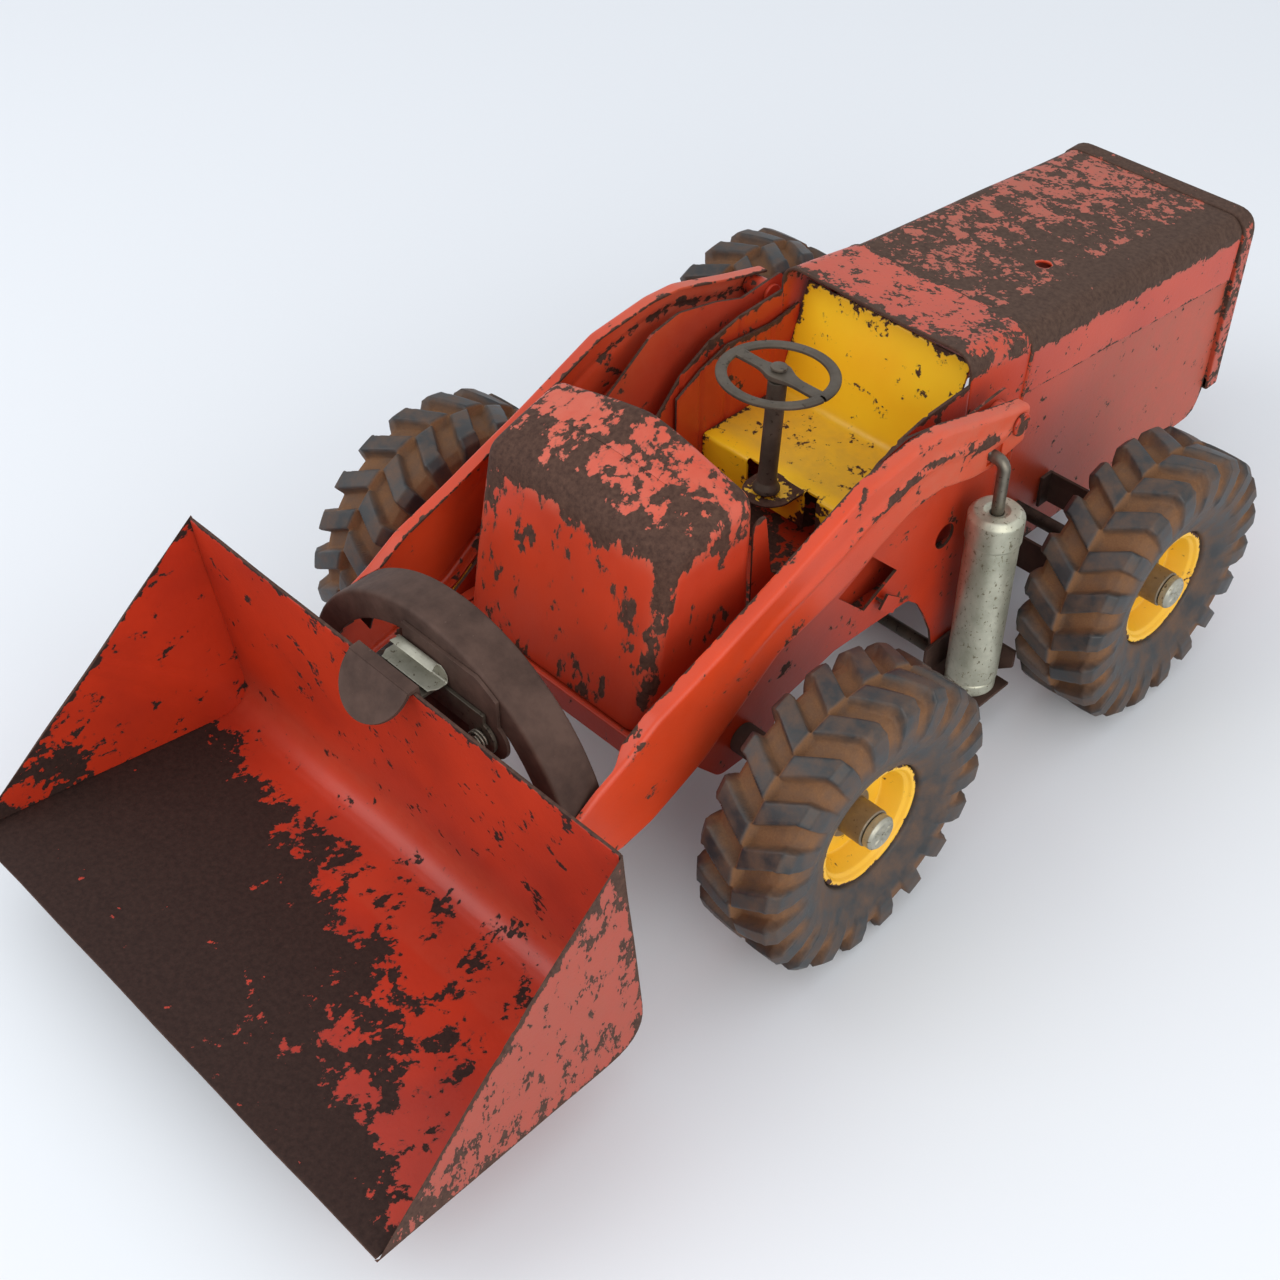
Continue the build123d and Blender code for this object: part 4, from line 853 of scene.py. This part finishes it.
def arm_grid(sign):
    """A channel ruled between its upper and lower edges: in along the top flange, round a bend, across the web
    with a ridge, round the lower bend and in along the lower flange. The ends close round the hinge."""
    upper = even(rounded_line(ARM_TOP, 9.0, 1.0), 190)
    lower = even(rounded_line(ARM_LOW, 9.0, 1.0), 190)
    turn = np.linspace(0, 1, 17)[1:, None]
    nose_up = np.hstack([HINGE[0] + NOSE_R * np.cos(np.radians(112 + 66 * turn)),
                         HINGE[1] + NOSE_R * np.sin(np.radians(112 + 66 * turn))])
    nose_low = np.hstack([HINGE[0] + NOSE_R * np.cos(np.radians(250 - 66 * turn)),
                          HINGE[1] + NOSE_R * np.sin(np.radians(250 - 66 * turn))])
    upper, lower = np.vstack([upper, nose_up]), np.vstack([lower, nose_low])
    span = lower - upper
    wide = np.linalg.norm(span, axis=1)
    way = span / wide[:, None]
    place = upper[:, 0]
    flange = smooth_step(-60, -52, place)
    tail = 1 - smooth_step(80, 86, lower[:, 0])
    bend = np.minimum(1.7, wide * 0.3)
    quarter = np.linspace(0, np.pi / 2, 6)
    rows_x, rows_s = [], []
    for depth in (1.0, 0.75, 0.5, 0.25):
        rows_x.append(ARM_X - ARM_SHEET - 0.5 - (ARM_DEEP - 1.8) * depth * flange)
        rows_s.append(0 * wide)
    for a in quarter:
        rows_x.append(ARM_X - bend * (1 - np.sin(a)))
        rows_s.append(bend * (1 - np.cos(a)))
    for share in np.linspace(0, 1, 25)[1:-1]:
        s = bend + share * (wide - 2 * bend)
        ridge = (np.exp(-((share - 0.42) * wide / 1.9) ** 2) * smooth_step(-30, 10, place)
                 * (1 - smooth_step(100, 108, place)))
        rows_x.append(ARM_X + 0.85 * ridge)
        rows_s.append(s)
    for a in quarter[::-1]:
        rows_x.append(ARM_X - bend * (1 - np.sin(a)))
        rows_s.append(wide - bend * (1 - np.cos(a)))
    for depth in (0.25, 0.5, 0.75, 1.0):
        rows_x.append(ARM_X - ARM_SHEET - 0.5 - (ARM_DEEP - 1.8) * depth * flange * tail)
        rows_s.append(wide)
    x, s = np.array(rows_x).T, np.array(rows_s).T
    y = upper[:, None, 0] + way[:, None, 0] * s
    z = upper[:, None, 1] + way[:, None, 1] * s
    grid = np.stack([sign * x, y, z], -1)
    return grid, s, wide[:, None], place[:, None]


def closed_box(name, low, high):
    """A box between two corners as a closed mesh, for cutting."""
    work = bmesh.new()
    bmesh.ops.create_cube(work, size=1.0)
    low, high = np.minimum(low, high), np.maximum(low, high)
    for v in work.verts:
        v.co = Vector(((np.array(v.co) + 0.5) * (high - low) + low) * MM) + Vector((0, AXLE_FRONT_Y, 0))
    mesh = bpy.data.meshes.new(name)
    work.to_mesh(mesh)
    work.free()
    return in_scene(name, mesh)


arm_red = worn_enamel("red_enamel_rubbed_ridge", "#D23F15", "#BA3513", "#BE5C44", chip_mm=8.0,
                      stretch=(1.0, 0.7, 1.0), seed=0.83)
HOOK_Y, HOOK_Z = 97.0, 104.0
for side, sign in SIDES:
    grid, s, wide, place = arm_grid(sign)
    ridge_near = np.exp(-((s - 0.42 * wide) / 2.6) ** 2) * smooth_step(10, 50, place)
    inner_rim = np.exp(-np.maximum(np.abs(grid[..., 0]) - (ARM_X - ARM_DEEP), 0) / 0.6) * (s < 1)
    edge_near = inner_rim + 0.25 * np.exp(-((s - 1.2) / 0.8) ** 2) + 0.5 * np.exp(-(wide - s) / 1.0)
    arm_wear = 0.13 + 0.55 * edge_near + 0.46 * ridge_near + 0.2 * smooth_step(-60, -80, place)
    arm_fade = 0.12 + 0.6 * smooth_step(20, 80, place)
    arm = mesh_object(f"lift_arm_{side}_channel", dented(grid, 0.18, 25.0, 2.0 * sign), (False, False),
                      [0, 20, 95], wear=arm_wear, fade=arm_fade)
    walled(arm, 1.15, None, 0.2)
    slot = closed_box("slot_cutter", [sign * 49, HOOK_Y - 3.0, HOOK_Z - 2.55],
                      [sign * 60, HOOK_Y + 4.1, HOOK_Z + 2.55])
    bpy.context.view_layer.update()
    cut_out(arm, [slot])
    fit(arm, "boom", [f"lift_arm_{side}"], [arm_red])

ARCH_R, ARCH_Y, ARCH_W, ARCH_DEEP, ARCH_Z = 57.5, -69.5, 14.0, 9.0, 55.0
foot_x = ARM_X - 1.2 - 0.1
spring = np.arcsin(foot_x / ARCH_R)
lean = np.linspace(-spring, spring, 120)
half_section = rounded_line([(-ARCH_W / 2, ARCH_DEEP), (-ARCH_W / 2, 0), (ARCH_W / 2, 0), (ARCH_W / 2, ARCH_DEEP)],
                            [0, 1.4, 1.4, 0], 0.6)
radius = ARCH_R - half_section[None, :, 1]
arch_grid = grid_of(radius * np.sin(lean)[:, None], ARCH_Y + half_section[:, 0],
                    ARCH_Z + radius * np.cos(lean)[:, None])
arch = mesh_object("boom_arch_channel", dented(arch_grid, 0.12, 14.0, 4.0), (False, False), [0, ARCH_Y, ARCH_Z],
                   wear=0.5, fade=0.0)
fit(walled(arch, 1.2, None, 0.3), "boom", ["boom_arch"], [brown])
foot_high = ARCH_Z + ARCH_R * np.cos(spring)
tongues = []
for sign in (-1, 1):
    y, z = np.meshgrid(np.linspace(ARCH_Y - 7, ARCH_Y + 7, 12), np.linspace(foot_high - 1.0, HINGE[1] + 5.0, 8))
    tongues.append(grid_of(sign * foot_x, y, z))
foot = mesh_object("boom_arch_feet", tongues, (False, False), [0, ARCH_Y, 65], wear=0.5, fade=0.0)
fit(walled(foot, 1.2, None, 0.2), "boom", [], [brown])


# ---------------------------------------------------------------- rams
# A dull plated tube with a pressed cap stands on a brown hanger at each side; a steel rod rises out of it and
# hooks into the arm. The plating is speckled and scuffed, with small dents.

RAM_X, RAM_Y, RAM_R, RAM_FOOT, RAM_TOP, ROD_R = 60.5, 97.0, 8.5, 13.0, 86.0, 2.0
plating = old_metal("plated_tube_speckled", "#A0A18F", "#CACAB8", "#7E7964", 0.6, 0.38, 1.1, (1.0, 1.0, 0.7), 0.60)
rod_steel = old_metal("ram_rod_grey_steel", "#5C564C", "#857F73", "#3A352E", 0.75, 0.38)
ram_line = rounded_line([(0.02, RAM_FOOT), (RAM_R - 1.4, RAM_FOOT), (RAM_R - 0.25, RAM_FOOT + 1.4),
                         (RAM_R - 0.25, RAM_FOOT + 5.0), (RAM_R - 0.75, RAM_FOOT + 5.5),
                         (RAM_R - 0.05, RAM_FOOT + 6.0), (RAM_R - 0.05, RAM_TOP - 11.2),
                         (RAM_R + 0.1, RAM_TOP - 10.9), (RAM_R + 0.45, RAM_TOP - 10.4),
                         (RAM_R + 0.45, RAM_TOP - 1.9), (RAM_R - 1.2, RAM_TOP - 0.02), (4.2, RAM_TOP - 0.02),
                         (3.4, RAM_TOP - 0.55), (2.35, RAM_TOP - 0.9), (2.12, RAM_TOP - 1.5), (2.12, RAM_TOP - 9.0)],
                        [0, 0.9, 0.3, 0.4, 0.3, 0.4, 0.2, 0.2, 0.3, 1.4, 0.9, 0.5, 0.4, 0.3, 0.2, 0], 0.8)


def rod_grid(sign):
    """A circle carried up the ram's axis, round a quarter turn, and in towards the arm."""
    bend = 3.2
    turn = np.linspace(0, np.pi / 2, 12)
    up = np.stack([np.full(24, RAM_X), np.linspace(35, HOOK_Z - bend, 24)], -1)
    arc = np.stack([RAM_X - bend + bend * np.cos(turn), HOOK_Z - bend + bend * np.sin(turn)], -1)[1:]
    out = np.stack([np.linspace(RAM_X - bend, ARM_X - 5.8, 7), np.full(7, HOOK_Z)], -1)[1:]
    path = np.vstack([up, arc, out])
    ahead = np.gradient(path, axis=0)
    ahead /= np.linalg.norm(ahead, axis=1)[:, None]
    beside = np.stack([ahead[:, 1], -ahead[:, 0]], -1)
    angle = np.linspace(0, 2 * np.pi, 24, endpoint=False)
    scale = np.concatenate([[0.01], np.ones(len(path)), [0.9, 0.01]])
    path = np.vstack([path[:1], path, path[-1:], path[-1:]])
    beside = np.vstack([beside[:1], beside, beside[-1:], beside[-1:]])
    across = ROD_R * scale[:, None] * np.cos(angle)[None, :]
    x = path[:, None, 0] + beside[:, None, 0] * across
    z = path[:, None, 1] + beside[:, None, 1] * across
    y = RAM_Y + ROD_R * scale[:, None] * np.sin(angle)[None, :]
    return np.stack([sign * x, y, z], -1)


for side, sign in SIDES:
    tube_grid = dented(upright(ram_line, 80) + [sign * RAM_X, RAM_Y, 0], 0.10, 9.0, 21.0 + sign)
    tube = mesh_object(f"ram_tube_{side}_plated", tube_grid, (True, False), [sign * RAM_X, RAM_Y, 50])
    fit(tube, "chassis", [f"ram_tube_{side}"], [plating])
    rod = mesh_object(f"ram_rod_{side}_bent", rod_grid(sign), (False, True), [sign * RAM_X, RAM_Y, 60])
    fit(rod, f"rod_{side}", [f"ram_rod_{side}"], [rod_steel])
    dressed_copy(f"ram_hanger_{side}", f"ram_hanger_{side}_bracket", "chassis", [brown], 0.2)


# ---------------------------------------------------------------- bucket
# The floor and back wall are one bent red sheet, with a welded cheek at each side that flares to the lip.
# Loads have scraped the floor to dark brown steel, with islands of red towards the lip and one side.

BUCKET_HALF, FLARE = 89.9, 4.8
TOP, HEEL, LIP, HEEL_R = (-89.9, 103.2), (-81.9, 22.6), (-177.1, 30.0), 12.0
shell_line = rounded_line([TOP, HEEL, LIP], HEEL_R, 1.5)
shell_run = np.concatenate([[0], np.cumsum(np.linalg.norm(np.diff(shell_line, axis=0), axis=1))])
half_at = BUCKET_HALF + FLARE * (TOP[0] - shell_line[:, 0]) / (TOP[0] - LIP[0]) - 0.55
across = np.linspace(-1, 1, 122)
shell_grid = grid_of(half_at[:, None] * across, shell_line[:, :1], shell_line[:, 1:])
x, y, z = np.moveaxis(shell_grid, -1, 0)
across_share = (x + 90) / 180
lip_share = (-94 - y) / 83
bare_from = np.interp(across_share, [0, 0.1, 0.35, 0.5, 0.63, 0.74, 0.9, 1],
                      [0.06, 0.10, 0.18, 0.30, 0.36, 0.42, 0.58, 0.9])
softness = np.interp(across_share, [0, 0.25, 0.4, 0.6, 1], [0.09, 0.13, 0.22, 0.36, 0.46])
scraped = smooth_step(bare_from - softness, bare_from + softness, lip_share)


def patch(u0, v0, wide, long):
    """A soft oval patch in plan: one at its middle, falling with the square of the distance."""
    return np.exp(-((across_share - u0) / wide) ** 2 - ((lip_share - v0) / long) ** 2)


shell_wear = (0.17 + 0.74 * scraped - 0.15 * smooth_step(0.46, 0.62, across_share) * smooth_step(0.4, 0.6, lip_share)
              - 0.16 * patch(0.64, 0.79, 0.07, 0.10) - 0.16 * patch(0.77, 0.64, 0.06, 0.08)
              - 0.20 * patch(0.9, 0.58, 0.06, 0.10) + 0.19 * patch(0.6, 0.06, 0.34, 0.12)
              + 0.10 * patch(0.85, 0.9, 0.2, 0.1)
              + 0.5 * np.exp(-(103.4 - z) / 1.0) + 0.35 * np.exp(-(y + 177.1) / 1.2))
shell_fade = 0.03 + 0.5 * np.exp(-((z - 33) / 9) ** 2) * (y > -110)
bucket_red = worn_enamel("red_enamel_scraped", "#C03418", "#A42A18", "#B84A34", chip_mm=9.0,
                         stretch=(1.0, 0.8, 1.0), seed=0.44, bare_dark="#2A1D1A", bare_light="#3C2B26")
shell = mesh_object("bucket_shell_bent", dented(shell_grid, 0.35, 35.0, 9.0), (False, False), [0, -140, 75],
                    wear=np.clip(shell_wear, 0, 1), fade=shell_fade)
walled(shell, 1.0, 1)
fit(shell, "bucket", ["bucket_shell"], [bucket_red, red_edge])

rub_red = worn_enamel("red_enamel_rubbed_pale", "#AA361C", "#9C2F18", "#9E4735", chip_mm=4.6,
                      stretch=(1.0, 1.0, 0.6), seed=0.92)
for side, sign in SIDES:
    lower = shell_line
    reach = shell_run / shell_run[-1]
    upper = np.stack([TOP[0] + (LIP[0] - TOP[0]) * reach, TOP[1] + (LIP[1] - TOP[1]) * reach], -1)
    v = np.linspace(0, 1, 60)[None, :, None]
    flat = lower[:, None, :] * (1 - v) + upper[:, None, :] * v
    y, z = flat[..., 0], flat[..., 1]
    x = BUCKET_HALF + FLARE * (TOP[0] - y) / (TOP[0] - LIP[0]) - 0.02
    seam = np.linalg.norm(lower[:, None, :] - upper[:, None, :], axis=-1) * v[..., 0]
    opening = np.linalg.norm(lower[:, None, :] - upper[:, None, :], axis=-1) * (1 - v[..., 0])
    to_lip = smooth_step(-120, -175, y)
    low = smooth_step(62, 36, z)
    cheek_wear = (0.17 + 0.45 * np.exp(-opening / 1.0) + 0.4 * np.exp(-seam / 1.2) + 0.16 * to_lip * low
                  + 0.05 * low + (0.14 * smooth_step(-118, -150, y) if sign < 0
                              else 0.09 + 0.12 * np.exp(-seam / 9) + 0.10 * smooth_step(66, 90, z)))
    cheek_fade = 0.7 * smooth_step(20, 30, z) if sign > 0 else 0.05 + 0 * z
    grid = np.stack([sign * x, y, z], -1)
    cheek = mesh_object(f"bucket_side_{side}_cheek", dented(grid, 0.25, 30.0, 12.0 + sign), (False, False),
                        [0, -130, 60], wear=np.clip(cheek_wear, 0, 1), fade=cheek_fade)
    walled(cheek, 1.0, 1)
    fit(cheek, "bucket", [f"bucket_side_{side}"],
        [rub_red if sign > 0 else bucket_red, red_edge])
    dressed_copy(f"bucket_ear_{side}", f"bucket_ear_{side}_hinge", "bucket", [red, red_edge], 0.25, 0.4,
                 0.1, 1.4)
dressed_copy("bucket_pins", "bucket_pins_riveted", "boom", [brown], 0.3)
dressed_copy("bucket_catch", "bucket_catch_folded", "bucket", [brown], 0.35)


# ---------------------------------------------------------------- latch under the arch
# A brown plate hangs from the arch and carries a dark steel lever with a plated thumb tab, on a pin with a coil.

for node, body, material in (("latch_plate", "boom", brown), ("latch_pin", "boom", brown),
                             ("latch_lever", "latch", iron)):
    dressed_copy(node, node + "_pressed", body, [material], 0.25)

# the plate's lower edge reaches further down behind the bucket's rim than the CAD plate does
plate_x = np.linspace(-9.0, 27.0, 25)
plate_low = 78.5 + 4.0 * np.abs((plate_x - 9.0) / 18.0) ** 6
plate_z = plate_low + (90.0 - plate_low) * np.linspace(0, 1, 8)[:, None]
lower_plate = mesh_object("latch_plate_lower", grid_of(plate_x, ARCH_Y - ARCH_W / 2 - 1.25, plate_z),
                          (False, False), [9, ARCH_Y, 85])
fit(walled(lower_plate, 1.0, None, 0.2), "boom", [], [brown])

# the tab lies on the lever, turns up against the plate, and rolls forward at the top into a small dome
TAB_BACK, TAB_LOW, TAB_HALF = ARCH_Y - ARCH_W / 2 - 1.75, 97.7, 11.0
tab_line = rounded_line([(-6.0, 0), (0, 0), (0, 6.2), (-3.4, 5.2)], [0, 1.0, 1.9, 0], 0.25)
rise = np.clip(tab_line[:, 1] / 6.2, 0, 1)[:, None]
across = np.linspace(-1, 1, 41)[None, :]
narrow = 1 - 0.34 * rise ** 3 - 0.12 * (1 - rise) * smooth_step(-3.0, -6.0, tab_line[:, 0])[:, None]
crown = (1 - across ** 2) * rise
tab_grid = np.stack([TAB_HALF * across * narrow, TAB_BACK + tab_line[:, 0][:, None] - 0.5 * crown,
                     TAB_LOW + tab_line[:, 1][:, None] - 0.9 * across ** 2 * rise], -1)
tab = mesh_object("thumb_tab_pressed", tab_grid, (False, False), [0, TAB_BACK + 4, 92])
fit(walled(tab, 0.9, None, 0.3), "latch", ["thumb_tab"], [plated])
dressed_copy("latch_spring", "latch_spring_coil", "boom", [rod_steel], 0.02)


# ---------------------------------------------------------------- floor, light and camera
# A pale floor under soft light from a big window, seen from above the left front corner.

backdrop, tree = new_material("pale_backdrop")
paper = add(tree, "BsdfDiffuse", {"Color": linear("#E3E7EC")})
add(tree, "OutputMaterial", {"Surface": paper.outputs[0]})
bpy.ops.mesh.primitive_plane_add(size=8.0, location=(0, 0, -0.0002))
floor_plane = bpy.context.object
floor_plane.name = "studio_floor"
floor_plane.data.materials.append(backdrop)

world = bpy.data.worlds.new("studio_air")
bpy.context.scene.world = world
world.use_nodes = True
world.node_tree.nodes["Background"].inputs["Color"].default_value = linear("#EDEFF2")
world.node_tree.nodes["Background"].inputs["Strength"].default_value = 1.0

for name, place, size, power, colour in (("window_light", (-0.5, -0.75, 0.85), 0.9, 4.5, "#FFFFFF"),
                                         ("room_fill", (1.0, -0.35, 0.5), 0.9, 6.0, "#FFFCF6")):
    lamp = bpy.data.lights.new(name, "AREA")
    lamp.size = size
    lamp.energy = power
    lamp.color = linear(colour)[:3]
    lamp_object = in_scene(name, lamp)
    lamp_object.location = place
    lamp_object.rotation_euler = (Vector((0, 0, 0.05)) - Vector(place)).to_track_quat("-Z", "Y").to_euler()

CAMERA_AT, CAMERA_LOOK, CAMERA_ROLL, LENS = (0.29679, -0.33235, 0.43665), (-0.0175, -0.02565, 0.030), -0.2, 51.6
camera = in_scene("camera", bpy.data.cameras.new("camera"))
camera.data.sensor_width = 36.0
camera.data.lens = LENS
camera.data.clip_start = 0.01
camera.location = CAMERA_AT
aim = (Vector(CAMERA_LOOK) - Vector(CAMERA_AT)).to_track_quat("-Z", "Y").to_matrix()
camera.rotation_euler = (aim @ Matrix.Rotation(np.radians(CAMERA_ROLL), 3, "Z")).to_euler()
bpy.context.scene.camera = camera
bpy.context.scene.view_settings.view_transform = "Standard"
